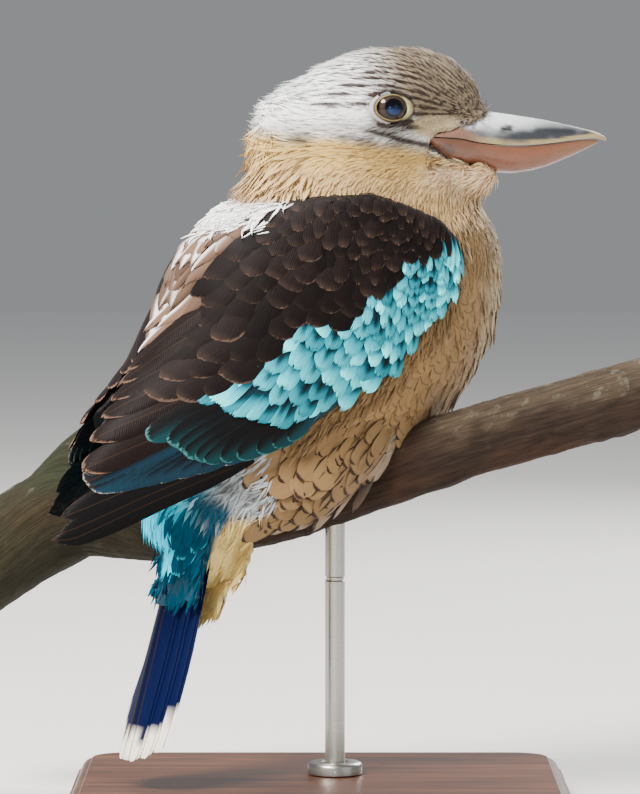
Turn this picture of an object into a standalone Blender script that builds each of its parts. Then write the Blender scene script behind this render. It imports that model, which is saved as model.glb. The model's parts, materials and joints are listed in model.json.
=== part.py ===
"""Blue-winged kookaburra, male, perched: a life-size still model on a cut branch and a plain display stand.

The bird is modelled in its own frame: +X forward along its heading, +Y to its left, +Z up. The empty
"bird" turns that frame to the pose. The perch and the stand are modelled in the frame of the stand,
whose origin is the centre of the base's underside.
"""

import math

import bmesh
import bpy
import numpy as np
from mathutils import Matrix, Vector
from mathutils.bvhtree import BVHTree

MM = 0.001
GAP = 0.3 * MM

# Sides of the bird, by the sign of its own +Y
SIDES = {"right": -1, "left": 1}

# Pose
BODY_YAW = math.radians(30.0)
HEAD_TURN = math.radians(-20.0)
HEAD_PIVOT = Vector((15.0, 0.0, 0.0)) * MM

# Coat surface of the trunk: height, rear, front and half width of level sections, in millimetres
TRUNK_SECTIONS = (
    (266, -20, 56, 28),
    (257, -27, 64, 31),
    (246, -31, 70, 34),
    (235, -37, 76, 37.5),
    (225, -46, 79.5, 39.5),
    (210, -55, 80, 41),
    (195, -61, 78, 41),
    (180, -67, 71, 39.5),
    (165, -72, 61, 37),
    (150, -76, 47, 34),
    (135, -79, 26, 31),
    (122, -79, 4, 26),
    (114, -76, -18, 18),
    (109, -68, -38, 9),
)
# Coat surface of the head: distance ahead of the neck's axis, top, underside and half width
HEAD_SECTIONS = (
    (56.5, 279, 258, 8.0),
    (54.5, 284, 254, 9.5),
    (50.5, 294.5, 250, 12.0),
    (41.0, 303.0, 247, 15.8),
    (33.0, 305.8, 244.5, 20.2),
    (25.0, 307.0, 243, 25.2),
    (7.0, 306.0, 240, 31),
    (-8.0, 301.0, 238, 32),
    (-22.0, 293.0, 236, 30),
    (-33.0, 284.5, 236, 24.5),
    (-39.5, 272.0, 242, 14),
)
CHIN_TUFT = ((47, 0, 254), (13.5, 12.5, 8.5))
# Flank lobes over the folded legs: three centres and radii along each, on the right side
FLANK_LINE = ((8, 21, 155, 15), (-14, 21, 137, 17), (-36, 19, 129, 15.5))

SKIN_VOXEL = 2.0 * MM
SKIN_TRIANGLES = 2200

# Cuts that part the body, each through two points of the middle plane
HEAD_CUT = ((73, 246.5), (-30, 262))
NECK_CUT = ((84, 226), (-36, 242))
RUMP_CUT = ((-90, 158), (40, 118))

# Bill, in the head's own frame: distance ahead, top, underside and half width
UPPER_BILL = (
    (27.0, 271.8, 269.9, 23.0),
    (33.0, 273.6, 269.7, 20.6),
    (41.0, 277.0, 269.2, 16.9),
    (48.0, 280.0, 267.9, 14.0),
    (55.0, 280.2, 267.1, 12.0),
    (61.5, 279.4, 266.7, 10.6),
    (68.0, 278.5, 266.7, 9.5),
    (78.0, 277.0, 267.3, 7.6),
    (88.5, 274.8, 268.6, 5.3),
    (97.0, 272.8, 269.4, 3.2),
    (101.5, 271.3, 269.3, 1.9),
    (104.3, 269.6, 268.6, 0.6),
)
LOWER_BILL = (
    (27.0, 269.5, 267.6, 22.6),
    (33.0, 269.3, 262.0, 20.4),
    (41.0, 268.8, 259.4, 16.7),
    (48.0, 267.5, 258.3, 13.7),
    (55.0, 266.7, 256.6, 11.8),
    (61.5, 266.2, 255.5, 10.2),
    (68.0, 266.2, 255.7, 9.0),
    (78.0, 266.9, 257.8, 7.1),
    (88.5, 268.2, 261.8, 4.8),
    (96.0, 268.9, 265.2, 2.9),
    (100.5, 268.9, 267.4, 1.3),
)
NOSTRIL = ((61.5, 9.4, 273.2), (3.6, 1.6, 1.1))

# Eye: centre in the head's own frame, radius, and the opening of the lids
EYE_CENTRE = (9.6, 25.6, 281.0)
EYE_RADIUS = 7.5
EYE_LEAD = math.radians(9.0)
LID_OPENING = (6.4, 4.9)
LID_OUTSIDE = (8.2, 6.1)
LID_CORNER = 1.8

# Folded wing: its own axis runs from the shoulder to the tip of the longest primary
WING_SHOULDER = (42.0, 225.0)
WING_TIP = (-132.0, 107.0)
WING_LENGTH = 204.0
# How much shorter the left wing is folded at its tip
WING_TUCK = 16.0
# Along the axis: lower edge, upper edge, distance from the middle plane at the top and at the side
WING_LOW = (
    (0, 0), (10, -10), (20, -15.5), (38, -17), (54, -23), (76, -20), (104, -20), (130, -15),
    (162, -8.7), (195, -4), (204, 0.5),
)
WING_HIGH = (
    (0, 6), (3, 15), (10, 25), (20, 38), (38, 49), (55, 55), (78, 56), (91, 51), (104, 43), (128, 32.5),
    (143, 29), (161, 25), (183, 15), (198, 6), (204, 3),
)
WING_TOP = (
    (0, 38), (12, 37), (25, 34), (38, 28), (55, 15), (70, 4), (90, 0.8), (110, 0.8), (125, 1), (143, 3),
    (161, 7), (183, 10), (210, 12),
)
WING_SIDE = (
    (0, 42), (10, 43.5), (20, 44.5), (40, 45.5), (60, 46), (80, 45), (104, 40), (130, 33), (162, 25),
    (195, 17), (210, 14),
)
WING_DEPTH = ((0, 9), (60, 10), (110, 8), (130, 5), (150, 3.2), (180, 2.2), (210, 1.4))

# Tiers of feathers on each wing: count, tips of the first, middle and last, length, half width, and lean to
# the wing's lower edge
WING_TIERS = (
    (4, (203, 1.8), (191, -4.0), (172, -8.0), 80, 6.4, 2.0),
    (4, (185, 9.5), (172, 1.0), (150, -6.5), 64, 8.0, 5.0),
    (3, (179, 14.8), (162, 23.0), (142, 28.5), 44, 9.0, 3.0),
    (4, (148, 12.0), (138, -4.5), (110, -16.5), 30, 8.6, 18.0),
    (5, (126, 15.0), (104, -11.5), (65, -19.5), 26, 8.6, 24.0),
    (3, (88, 5.0), (58, -4.0), (28, -10.0), 26, 10.5, 22.0),
    (3, (120, 26.0), (88, 17.0), (48, 9.0), 34, 12.0, 12.0),
)

# Tail: root and tip of its middle line, and the slope of its two halves along it
TAIL_ROOT = (-61.7, 116.8)
TAIL_TIP = (-87.3, 25.5)
TAIL_SLOPE = ((0, 0.33), (20, 0.33), (50, 0.285), (95, 0.1))
TAIL_PAIRS = 6
TAIL_FEATHER_HALF = 5.4
TAIL_STEP = 0.62
TAIL_SHORTER = 1.25

# Perch: a line of centres and radii in the frame of the stand
PERCH_LINE = (
    (-150, 43, 86, 19.5),
    (-131, 38, 99, 20),
    (-114, 34, 111.5, 20.8),
    (-98, 29.5, 119, 20.8),
    (-81, 24.5, 117.5, 19.2),
    (-64, 20, 116, 17.8),
    (-24, 9.4, 121.6, 16.2),
    (4, 2, 128.8, 14.9),
    (32, -5.6, 138.8, 14.3),
    (72, -16.3, 153.2, 14.0),
    (112, -27, 164.8, 14.4),
    (136, -33.5, 171.5, 14.2),
)
FORK_LINE = ((-108, 30, 118, 17), (-94, 33, 135, 15.8), (-78, 37, 149.5, 14.8), (-63, 41, 162, 14.2))

# Feet: place on the perch by world x, turn about it, and the toes as heading, length and radius
FEET = {"right": (24.0, math.radians(4.0)), "left": (-19.0, math.radians(-2.0))}
TOES = (
    ("outer", 30.0, 24.0, 2.3),
    ("middle", 47.0, 26.0, 2.5),
    ("inner", 66.0, 19.0, 2.2),
    ("hind", 228.0, 16.0, 2.4),
)
FORWARD = 47.0
CLAW_LENGTH = 9.0

STAND_SIZE = (200.0, 150.0, 14.0)
STAND_CORNER = 20.0
ROD_PLACE = (6.0, 1.5)
ROD_RADIUS = 4.0
COLLAR = (11.0, 5.0)

COLOURS = {
    "cream_coat": ((0.62, 0.45, 0.25), 0.85, 0.0),
    "head_coat": ((0.66, 0.58, 0.47), 0.85, 0.0),
    "brown_feather": ((0.055, 0.035, 0.027), 0.7, 0.0),
    "azure_feather": ((0.10, 0.55, 0.62), 0.55, 0.0),
    "blue_feather": ((0.02, 0.07, 0.30), 0.5, 0.0),
    "bill_horn": ((0.12, 0.13, 0.16), 0.3, 0.0),
    "bill_flesh": ((0.60, 0.35, 0.27), 0.4, 0.0),
    "eye_glass": ((0.02, 0.02, 0.03), 0.05, 0.0),
    "eyelid_skin": ((0.35, 0.28, 0.15), 0.6, 0.0),
    "foot_skin": ((0.25, 0.24, 0.20), 0.6, 0.0),
    "claw_horn": ((0.05, 0.045, 0.04), 0.35, 0.0),
    "bark": ((0.22, 0.15, 0.11), 0.9, 0.0),
    "stand_wood": ((0.10, 0.055, 0.03), 0.45, 0.0),
    "stand_steel": ((0.45, 0.44, 0.42), 0.35, 1.0),
}


def clear_scene():
    for obj in list(bpy.data.objects):
        bpy.data.objects.remove(obj, do_unlink=True)


def material(name):
    if name in bpy.data.materials:
        return bpy.data.materials[name]
    made = bpy.data.materials.new(name)
    made.use_nodes = True
    colour, roughness, metallic = COLOURS[name]
    shader = made.node_tree.nodes["Principled BSDF"]
    shader.inputs["Base Color"].default_value = (*colour, 1.0)
    shader.inputs["Roughness"].default_value = roughness
    shader.inputs["Metallic"].default_value = metallic
    made.diffuse_color = (*colour, 1.0)
    return made


def mesh_object(name, points, faces, finish=None):
    """A mesh object in the scene, from points and faces in its own frame."""
    mesh = bpy.data.meshes.new(name)
    mesh.from_pydata([tuple(p) for p in points], [], [tuple(f) for f in faces])
    mesh.update()
    obj = bpy.data.objects.new(name, mesh)
    bpy.context.scene.collection.objects.link(obj)
    if finish:
        mesh.materials.append(material(finish))
    return obj


def face_out(obj):
    """Turns the faces of a closed mesh outwards."""
    bm = bmesh.new()
    bm.from_mesh(obj.data)
    bmesh.ops.recalc_face_normals(bm, faces=bm.faces)
    if bm.calc_volume(signed=True) < 0:
        bmesh.ops.reverse_faces(bm, faces=bm.faces)
    bm.to_mesh(obj.data)
    bm.free()
    return obj


def loft(name, rings, finish=None):
    """A closed solid through rings of equal length, with flat ends."""
    count = len(rings[0])
    points = [p for ring in rings for p in ring]
    faces = []
    for i in range(len(rings) - 1):
        a, b = i * count, (i + 1) * count
        for j in range(count):
            k = (j + 1) % count
            faces += [(a + j, a + k, b + k), (a + j, b + k, b + j)]
    faces.append(tuple(range(count))[::-1])
    faces.append(tuple(range(len(points) - count, len(points))))
    return face_out(mesh_object(name, points, faces, finish))


def superellipse(angle, power):
    c, s = math.cos(angle), math.sin(angle)
    return (
        math.copysign(abs(c) ** (2 / power), c),
        math.copysign(abs(s) ** (2 / power), s),
    )


def evaluated_mesh(obj):
    bpy.context.view_layer.update()
    graph = bpy.context.evaluated_depsgraph_get()
    return bpy.data.meshes.new_from_object(obj.evaluated_get(graph))


def apply_modifiers(obj):
    mesh = evaluated_mesh(obj)
    obj.modifiers.clear()
    old = obj.data
    obj.data = mesh
    bpy.data.meshes.remove(old)
    return obj


def remove(*objects):
    for obj in objects:
        bpy.data.objects.remove(obj, do_unlink=True)


def copy_of(obj, name):
    twin = bpy.data.objects.new(name, obj.data.copy())
    bpy.context.scene.collection.objects.link(twin)
    twin.parent = obj.parent
    twin.matrix_basis = obj.matrix_basis.copy()
    return twin


def grown(obj, distance, name="grown"):
    """A copy whose surface lies that distance further out."""
    twin = copy_of(obj, name)
    bm = bmesh.new()
    bm.from_mesh(twin.data)
    bm.normal_update()
    moves = [(v, v.normal * distance * min(v.calc_shell_factor(), 1.6)) for v in bm.verts]
    for vertex, move in moves:
        vertex.co += move
    bm.to_mesh(twin.data)
    bm.free()
    return twin


def boolean(obj, other):
    """Takes the other solid out of the object."""
    cut = obj.modifiers.new("cut", "BOOLEAN")
    cut.operation = "DIFFERENCE"
    cut.object = other
    cut.solver = "MANIFOLD"
    return apply_modifiers(obj)


def keep_largest(obj):
    """Leaves only the largest closed surface of a mesh."""
    bm = bmesh.new()
    bm.from_mesh(obj.data)
    bmesh.ops.triangulate(bm, faces=bm.faces)
    bmesh.ops.remove_doubles(bm, verts=bm.verts, dist=1e-6)
    bmesh.ops.dissolve_limit(bm, angle_limit=math.radians(0.6), verts=bm.verts, edges=bm.edges)
    bmesh.ops.triangulate(bm, faces=bm.faces)
    left, shells = set(bm.faces), []
    while left:
        seed = left.pop()
        shell, queue = [seed], [seed]
        while queue:
            for edge in queue.pop().edges:
                for face in edge.link_faces:
                    if face in left and len(edge.link_faces) == 2:
                        left.remove(face)
                        shell.append(face)
                        queue.append(face)
        shells.append(shell)
    shells.sort(key=lambda shell: sum(face.calc_area() for face in shell))
    for shell in shells[:-1]:
        bmesh.ops.delete(bm, geom=shell, context="FACES")
    bmesh.ops.delete(bm, geom=[v for v in bm.verts if not v.link_faces], context="VERTS")
    bm.to_mesh(obj.data)
    bm.free()
    return obj


def cut_side(obj, point, normal):
    """Keeps what lies behind a plane, and closes the cut."""
    bm = bmesh.new()
    bm.from_mesh(obj.data)
    made = bmesh.ops.bisect_plane(
        bm,
        geom=bm.verts[:] + bm.edges[:] + bm.faces[:],
        plane_co=point,
        plane_no=normal,
        dist=1e-7,
        clear_outer=True,
    )
    rim = [e for e in made["geom_cut"] if isinstance(e, bmesh.types.BMEdge)]
    rim = [e for e in rim if e.is_boundary]
    bmesh.ops.contextual_create(bm, geom=rim)
    bmesh.ops.triangulate(bm, faces=[f for f in bm.faces if len(f.verts) > 3])
    bm.to_mesh(obj.data)
    bm.free()
    return obj


def plane_through(pair):
    """Point and normal of a cut through two points of the middle plane, in metres. The normal points up."""
    (f0, z0), (f1, z1) = pair
    along = Vector((f1 - f0, 0, z1 - z0)).normalized()
    normal = Vector((along.z, 0, -along.x))
    if normal.z < 0:
        normal = -normal
    return Vector((f0, 0, z0)) * MM, normal


def head_place(point):
    """A point of the head's own frame, in the bird's frame."""
    return Matrix.Rotation(HEAD_TURN, 3, "Z") @ Vector(point) + HEAD_PIVOT


def trunk_ring(height, rear, front, half, count=40, power=2.25):
    centre, reach = (rear + front) / 2, (front - rear) / 2
    ring = []
    for i in range(count):
        c, s = superellipse(2 * math.pi * i / count, power)
        ring.append(Vector((centre + reach * c, half * s, height)) * MM)
    return ring


def head_ring(ahead, top, under, half, count=32, power=2.2):
    middle, reach = (top + under) / 2, (top - under) / 2
    ring = []
    for i in range(count):
        c, s = superellipse(2 * math.pi * i / count, power)
        ring.append(head_place(Vector((ahead, half * c, middle + reach * s)) * MM))
    return ring


def ball(name, centre, radii, turn=0.0, rings=14, segments=24):
    bm = bmesh.new()
    place = Matrix.Translation(centre) @ Matrix.Rotation(turn, 4, "Z") @ Matrix.Diagonal((*radii, 1))
    bmesh.ops.create_uvsphere(bm, u_segments=segments, v_segments=rings, radius=1.0, matrix=place)
    mesh = bpy.data.meshes.new(name)
    bm.to_mesh(mesh)
    bm.free()
    obj = bpy.data.objects.new(name, mesh)
    bpy.context.scene.collection.objects.link(obj)
    return obj


def smooth_line(knots, count):
    """Points and radii on a Catmull-Rom curve through knots of four numbers."""
    knots = np.array(knots, float)
    ends = np.vstack([2 * knots[0] - knots[1], knots, 2 * knots[-1] - knots[-2]])
    made = []
    for t in np.linspace(0, len(knots) - 1, count):
        i = min(int(t), len(knots) - 2)
        u = t - i
        a, b, c, d = ends[i : i + 4]
        made.append(
            0.5 * (2 * b + (c - a) * u + (2 * a - 5 * b + 4 * c - d) * u**2 + (3 * b - a - 3 * c + d) * u**3)
        )
    return np.array(made)


def body_skin():
    """The whole coat surface of head, neck, trunk and flanks as one closed mesh."""
    parts = [
        loft("trunk", [trunk_ring(*row) for row in TRUNK_SECTIONS]),
        loft("skull", [head_ring(*row) for row in HEAD_SECTIONS]),
    ]
    centre, radii = CHIN_TUFT
    parts.append(ball("chin", head_place(Vector(centre) * MM), Vector(radii) * MM, HEAD_TURN))
    for side in (-1, 1):
        for f, l, z, r in smooth_line(FLANK_LINE, 9):
            parts.append(ball("flank", Vector((f, side * l, z)) * MM, Vector((r, r, r)) * MM))
    bm = bmesh.new()
    for part in parts:
        bm.from_mesh(part.data)
    mesh = bpy.data.meshes.new("skin")
    bm.to_mesh(mesh)
    bm.free()
    remove(*parts)
    skin = bpy.data.objects.new("skin", mesh)
    bpy.context.scene.collection.objects.link(skin)
    remesh = skin.modifiers.new("fuse", "REMESH")
    remesh.mode = "VOXEL"
    remesh.voxel_size = SKIN_VOXEL
    smooth = skin.modifiers.new("soften", "SMOOTH")
    smooth.factor = 0.5
    smooth.iterations = 14
    apply_modifiers(skin)
    thin = skin.modifiers.new("thin", "DECIMATE")
    thin.ratio = SKIN_TRIANGLES / (2 * len(skin.data.polygons))
    return apply_modifiers(skin)


def table(rows, at):
    """Value of a table of two columns at a place, on straight lines between its rows."""
    return float(np.interp(at, [r[0] for r in rows], [r[1] for r in rows]))


def slab(name, outer, inner, finish=None):
    """A closed solid between two equal grids of points."""
    rows, cols = len(outer), len(outer[0])
    points = [p for row in outer for p in row] + [p for row in inner for p in row]
    back = rows * cols
    faces = []

    def quad(a, b, c, d):
        faces.extend([(a, b, c), (a, c, d)])

    for i in range(rows - 1):
        for j in range(cols - 1):
            a = i * cols + j
            quad(a, a + 1, a + cols + 1, a + cols)
            quad(back + a, back + a + cols, back + a + cols + 1, back + a + 1)
    for i in range(rows - 1):
        for a, b in ((i * cols, (i + 1) * cols), ((i + 2) * cols - 1, (i + 1) * cols - 1)):
            quad(a, b, back + b, back + a)
    for j in range(cols - 1):
        for a, b in ((j + 1, j), (back - cols + j, back - cols + j + 1)):
            quad(a, b, back + b, back + a)
    return face_out(mesh_object(name, points, faces, finish))


def tube(name, stations, sides=8, finish=None):
    """A closed tube through stations of centre, across, up and radius."""
    rings = []
    for centre, across, up, radius in stations:
        ring = []
        for i in range(sides):
            angle = 2 * math.pi * (i + 0.5) / sides
            ring.append(centre + across * (radius * math.cos(angle)) + up * (radius * math.sin(angle)))
        rings.append(ring)
    return loft(name, rings, finish)


def union(name, parts, finish):
    """One closed body from overlapping closed solids."""
    if len(parts) == 1:
        parts[0].name = name
        return parts[0]
    base, others = parts[0], parts[1:]
    group = bpy.data.collections.new(name + "_parts")
    for part in others:
        group.objects.link(part)
    join = base.modifiers.new("join", "BOOLEAN")
    join.operation = "UNION"
    join.operand_type = "COLLECTION"
    join.collection = group
    join.solver = "MANIFOLD"
    apply_modifiers(base)
    remove(*others)
    bpy.data.collections.remove(group)
    base.name = name
    finish_node(base, finish)
    return keep_largest(base)


def finish_node(obj, finish):
    obj.data.materials.clear()
    obj.data.materials.append(material(finish))
    return obj


def carve(obj, *others, gap=GAP, thin=1.0):
    """Cuts the object clear of others by the gap. A cutter may be thinned to a share of its triangles."""
    for other in others:
        cutter = grown(other, gap)
        if thin < 1:
            less = cutter.modifiers.new("less", "DECIMATE")
            less.ratio = thin
            apply_modifiers(cutter)
        boolean(obj, cutter)
        remove(cutter)
    return keep_largest(obj)


def pose(*objects):
    """Turns meshes made in the bird's frame to the frame of the stand."""
    for obj in objects:
        obj.data.transform(Matrix.Rotation(BODY_YAW, 4, "Z"))


def body_part(skin, name, finish, below=None, above=None):
    """The piece of the skin between two cuts."""
    piece = copy_of(skin, name)
    if below:
        point, normal = plane_through(below)
        cut_side(piece, point - normal * GAP / 2, normal)
    if above:
        point, normal = plane_through(above)
        cut_side(piece, point + normal * GAP / 2, -normal)
    return finish_node(keep_largest(piece), finish)


def bill_rings(upper, lower, count=14):
    """Sections of the bill. The top comes from the rows above and the underside from the rows below."""
    rings = []
    for (ahead, top, seam_up, half_up), (_, seam_low, under, half_low) in zip(upper, lower):
        ring = []
        for i in range(count):
            c, s = superellipse(2 * math.pi * i / count, 2.0)
            if s >= 0:
                z = seam_up + (top - seam_up) * s**0.92
                y = half_up * math.copysign(abs(c) ** 0.8, c)
            else:
                z = seam_low - (seam_low - under) * (-s) ** 0.85
                y = half_low * math.copysign(abs(c) ** 0.85, c)
            ring.append(head_place(Vector((ahead, y, z)) * MM))
        rings.append(ring)
    return rings


def eye_axes(side):
    """Centre of an eyeball, its axis outwards, and the directions forward and up across it."""
    x, y, z = EYE_CENTRE
    centre = head_place(Vector((x, side * y, z)) * MM)
    turn = Matrix.Rotation(HEAD_TURN, 3, "Z")
    axis = turn @ Vector((math.sin(EYE_LEAD), side * math.cos(EYE_LEAD), 0.04)).normalized()
    ahead = (turn @ Vector((math.cos(EYE_LEAD), -side * math.sin(EYE_LEAD), 0))).normalized()
    return centre, axis, ahead, axis.cross(ahead) * -side


def lid_outline(angle):
    """Inner and outer reach of the lids in a direction round the eye, with a corner drawn out ahead."""
    c, s = math.cos(angle), math.sin(angle)
    corner = LID_CORNER * max(0.0, c) ** 6
    inside = 1 / math.hypot(c / LID_OPENING[0], s / LID_OPENING[1])
    return inside, 1 / math.hypot(c / (LID_OUTSIDE[0] + corner), s / LID_OUTSIDE[1])


def eye_reach(angle, height):
    """Reach of the eye across its axis at a height over its centre."""
    ball_reach = math.sqrt(max(EYE_RADIUS**2 - height**2, 0))
    return min(ball_reach, lid_outline(angle)[1] - 0.75)


def eye_rings(side, reaches, count=18):
    """Rings round an eye's axis from pairs of height and a function of the angle."""
    centre, axis, ahead, up = eye_axes(side)
    rings = []
    for height, reach in reaches:
        ring = []
        for i in range(count):
            angle = 2 * math.pi * i / count
            direction = ahead * math.cos(angle) + up * math.sin(angle)
            ring.append(centre + (direction * reach(angle) + axis * height) * MM)
        rings.append(ring)
    return rings


def eyeball(name, side):
    heights = [-1.7, 3.4] + [EYE_RADIUS * math.cos(math.radians(a)) for a in (48, 36, 24, 12, 3)]
    reaches = [(h, lambda a, h=h: eye_reach(a, h)) for h in heights]
    return loft(name, eye_rings(side, reaches), "eye_glass")


def eye_socket(side):
    """The hollow of the head that holds an eye and its lids."""
    wall = [(h, lambda a: lid_outline(a)[1] + 0.3) for h in (-2.0, 16.0)]
    return loft("socket", eye_rings(side, wall))


def eyelids(name, side, skin_tree, count=18):
    """A ring of lids round an eye, raised a little from the skin."""
    centre, axis, ahead, up = eye_axes(side)
    rings = []
    for i in range(count):
        angle = 2 * math.pi * i / count
        inside, outside = lid_outline(angle)
        direction = ahead * math.cos(angle) + up * math.sin(angle)
        hit = skin_tree.ray_cast(centre + (direction * outside + axis * 30) * MM, -axis)[0]
        rim = (hit - centre).dot(axis) / MM
        crest = math.sqrt(EYE_RADIUS**2 - (inside - 0.35) ** 2)
        foot = rim - 2.0
        bend = math.sqrt(max(EYE_RADIUS**2 - (outside - 0.75) ** 2, 0))
        bend = min(max(bend, foot + 0.4), crest - 0.6)
        middle = (bend + crest) / 2
        profile = (
            (eye_reach(angle, foot) + 0.3, foot),
            (eye_reach(angle, bend - 0.1) + 0.34, bend + 0.1),
            (eye_reach(angle, middle) + 0.36, middle + 0.1),
            (inside, crest),
            (inside + 0.35 * (outside - inside), crest + 0.15),
            (inside + 0.75 * (outside - inside), 0.35 * crest + 0.65 * rim + 0.4),
            (outside, rim + 0.15),
            (outside, foot),
        )
        rings.append([centre + (direction * r + axis * h) * MM for r, h in profile])
    return hoop(name, rings, "eyelid_skin")


def hoop(name, rings, finish):
    """A closed ring through sections of equal length, the last joined to the first."""
    points = [p for ring in rings for p in ring]
    faces, width = [], len(rings[0])
    for i in range(len(rings)):
        for j in range(width):
            a, b = i * width, ((i + 1) % len(rings)) * width
            k = (j + 1) % width
            faces += [(a + j, a + k, b + k), (a + j, b + k, b + j)]
    return face_out(mesh_object(name, points, faces, finish))


def wing_point(side, along, over, sink=0.0):
    """A point of a folded wing: along its axis, over from its lower edge (0) to its top (1), sunk inwards."""
    shoulder, tip = Vector(WING_SHOULDER), Vector(WING_TIP)
    run = (tip - shoulder).normalized()
    rise = Vector((run.y, -run.x))

    def surface(p, t):
        low, high = table(WING_LOW, p), table(WING_HIGH, p)
        top, flank = table(WING_TOP, p), table(WING_SIDE, p)
        lift = low + (high - low) * math.sin(t * math.pi / 2)
        out = top + (flank - top) * max(0.0, math.cos(t * math.pi / 2)) ** 0.8
        out -= 0.12 * (flank - top) * max(0.0, 1 - t / 0.3) ** 2
        if side > 0:
            p -= WING_TUCK * max(2 * p / WING_LENGTH - 1, 0)
        flat = shoulder + run * p + rise * lift
        return Vector((flat.x, side * out, flat.y))

    here = surface(along, over)
    if sink:
        step = surface(min(along + 2, WING_LENGTH), over) - surface(max(along - 2, 0), over)
        across = surface(along, min(over + 0.04, 1)) - surface(along, max(over - 0.04, 0))
        normal = step.cross(across).normalized()
        if normal.dot(Vector((0.2, side, 0.5))) < 0:
            normal = -normal
        here = here - normal * sink
        here.y = side * max(side * here.y, 0.6)
    return here * MM


def wing_pad(side, name):
    """The folded wing's body under its feathers. Towards the tip it stays short of their ends."""
    stations = [0.5, 5, 12, 22, 34, 48, 62, 76, 90, 104, 118, 132, 146, 160, 174, 188, 196]
    outer, inner = [], []
    for p in stations:
        spare = 0.1 * min(max((p - 80) / 40, 0), 1)
        overs = np.linspace(spare * 0.5, 1 - spare, 7)
        outer.append([wing_point(side, p, t) for t in overs])
        inner.append([wing_point(side, p, t, table(WING_DEPTH, p)) for t in overs])
    return slab(name, outer, inner)


def wing_over(along, rise):
    """How far over from the lower edge a height over the wing's axis lies."""
    low, high = table(WING_LOW, along), table(WING_HIGH, along)
    share = (rise - low) / max(high - low, 1)
    return math.asin(min(max(share, 0.0), 1.0)) * 2 / math.pi


def wing_vane(side, root, tip, half):
    """A tapered feather on a folded wing, its root sunk in and its tip lifted."""
    shares = (0, 0.45, 0.85, 1.0)
    widths = (0.85, 1, 0.85, 0.3)
    rings = []
    for share, width in zip(shares, widths):
        along = min(root[0] + (tip[0] - root[0]) * share, WING_LENGTH)
        over = wing_over(along, root[1] + (tip[1] - root[1]) * share)
        low, high = max(over - 0.03, 0), min(over + 0.03, 1)
        span = (wing_point(side, along, high) - wing_point(side, along, low)).length / MM / (high - low)
        reach = half * width / span
        lift = -0.5 + 1.5 * share
        rings.append([
            wing_point(side, along, max(over - reach, 0), -(lift - 0.45)),
            wing_point(side, along, over, -(lift + 0.2)),
            wing_point(side, along, min(over + reach, 1), -(lift - 0.1)),
            wing_point(side, along, over, 1.0 - lift),
        ])
    return loft("vane", rings)


def wing_vanes(side):
    made = []
    for count, first, middle, last, length, half, lean in WING_TIERS:
        back = Vector((-math.cos(math.radians(lean)), math.sin(math.radians(lean)))) * length
        for i in range(count):
            t = i / (count - 1)
            a, b, c = Vector(first), Vector(middle), Vector(last)
            tip = a * (1 - t) * (1 - 2 * t) + b * 4 * t * (1 - t) + c * t * (2 * t - 1)
            made.append(wing_vane(side, tip + back, tip, half))
    return made


def tail_point(along, across, above):
    """A point of the tail: along its middle line from the root, across to the left, above its upper face."""
    root, tip = Vector(TAIL_ROOT), Vector(TAIL_TIP)
    run = (tip - root).normalized()
    flat = root + run * along + Vector((run.y, -run.x)) * (above - table(TAIL_SLOPE, along) * abs(across))
    return Vector((flat.x, across, flat.y)) * MM


def fan(name, stations, columns=7, belly=False):
    """A tapered slab along the tail from rows of place, half width, upper and lower face."""
    outer, inner = [], []
    for along, half, above, below in stations:
        spread = [float(s) for s in np.linspace(-half, half, columns)]
        bulge = [0.45 + 0.55 * (1 - (s / half) ** 2) for s in spread]
        tall = above - below
        tops = [above if belly else below + tall * b for b in bulge]
        feet = [above - tall * b if belly else below for b in bulge]
        outer.append([tail_point(along, s, top) for s, top in zip(spread, tops)])
        inner.append([tail_point(along, s, foot) for s, foot in zip(spread, feet)])
    return slab(name, outer, inner)


def tail_vane(aside, along, half, level, thick=0.75):
    """A free feather of six-sided section along the tail, with its places and level at root and tip."""
    rings = []
    for share, width in ((0, 0.6), (0.5, 0.95), (0.92, 0.95), (1.0, 0.5)):
        p, s, low = (pair[0] + (pair[1] - pair[0]) * share for pair in (along, aside, level))
        reach, top = half * width, low + 0.25
        rings.append([
            tail_point(p, s - reach, low),
            tail_point(p, s, top),
            tail_point(p, s + reach, low),
            tail_point(p, s + reach, low - thick + 0.2),
            tail_point(p, s, top - thick),
            tail_point(p, s - reach, low - thick + 0.2),
        ])
    return loft("vane", rings)


def tail_vanes():
    """The tail's pairs of feathers, the middle pair on top and each further pair a little shorter."""
    made, length = [], (Vector(TAIL_TIP) - Vector(TAIL_ROOT)).length
    for side in (-1, 1):
        for k in range(TAIL_PAIRS):
            aside = (side * (1.0 + 1.6 * k), side * (2.8 + 2.75 * k))
            tip = length - TAIL_SHORTER * k * (0.6 + 0.12 * k)
            level = 1.2 - TAIL_STEP * k - (0.3 if side > 0 else 0)
            made.append(tail_vane(aside, (-14, tip), TAIL_FEATHER_HALF, (level, level)))
    return made


def covert_vanes(tiers, half):
    """Feathers over the tail's root: tiers of tip, length, reach aside, count, and level at root and tip."""
    made = []
    for tip, length, reach, count, sunk, level in tiers:
        for i in range(count):
            s = reach * (2 * i / (count - 1) - 1)
            end = tip - 3.5 * (s / reach) ** 2
            made.append(tail_vane((0.75 * s, s), (end - length, end), half, (sunk, level), 1.2))
    return made


def perch_frame(knots, count):
    """Stations along a limb: centre, across, up and radius, in metres."""
    line = smooth_line(knots, count)
    made = []
    for i, row in enumerate(line):
        run = Vector(line[min(i + 1, count - 1)][:3]) - Vector(line[max(i - 1, 0)][:3])
        run.normalize()
        across = Vector((0, 0, 1)).cross(run).normalized()
        made.append((Vector(row[:3]) * MM, across, run.cross(across), row[3] * MM))
    return made


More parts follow.
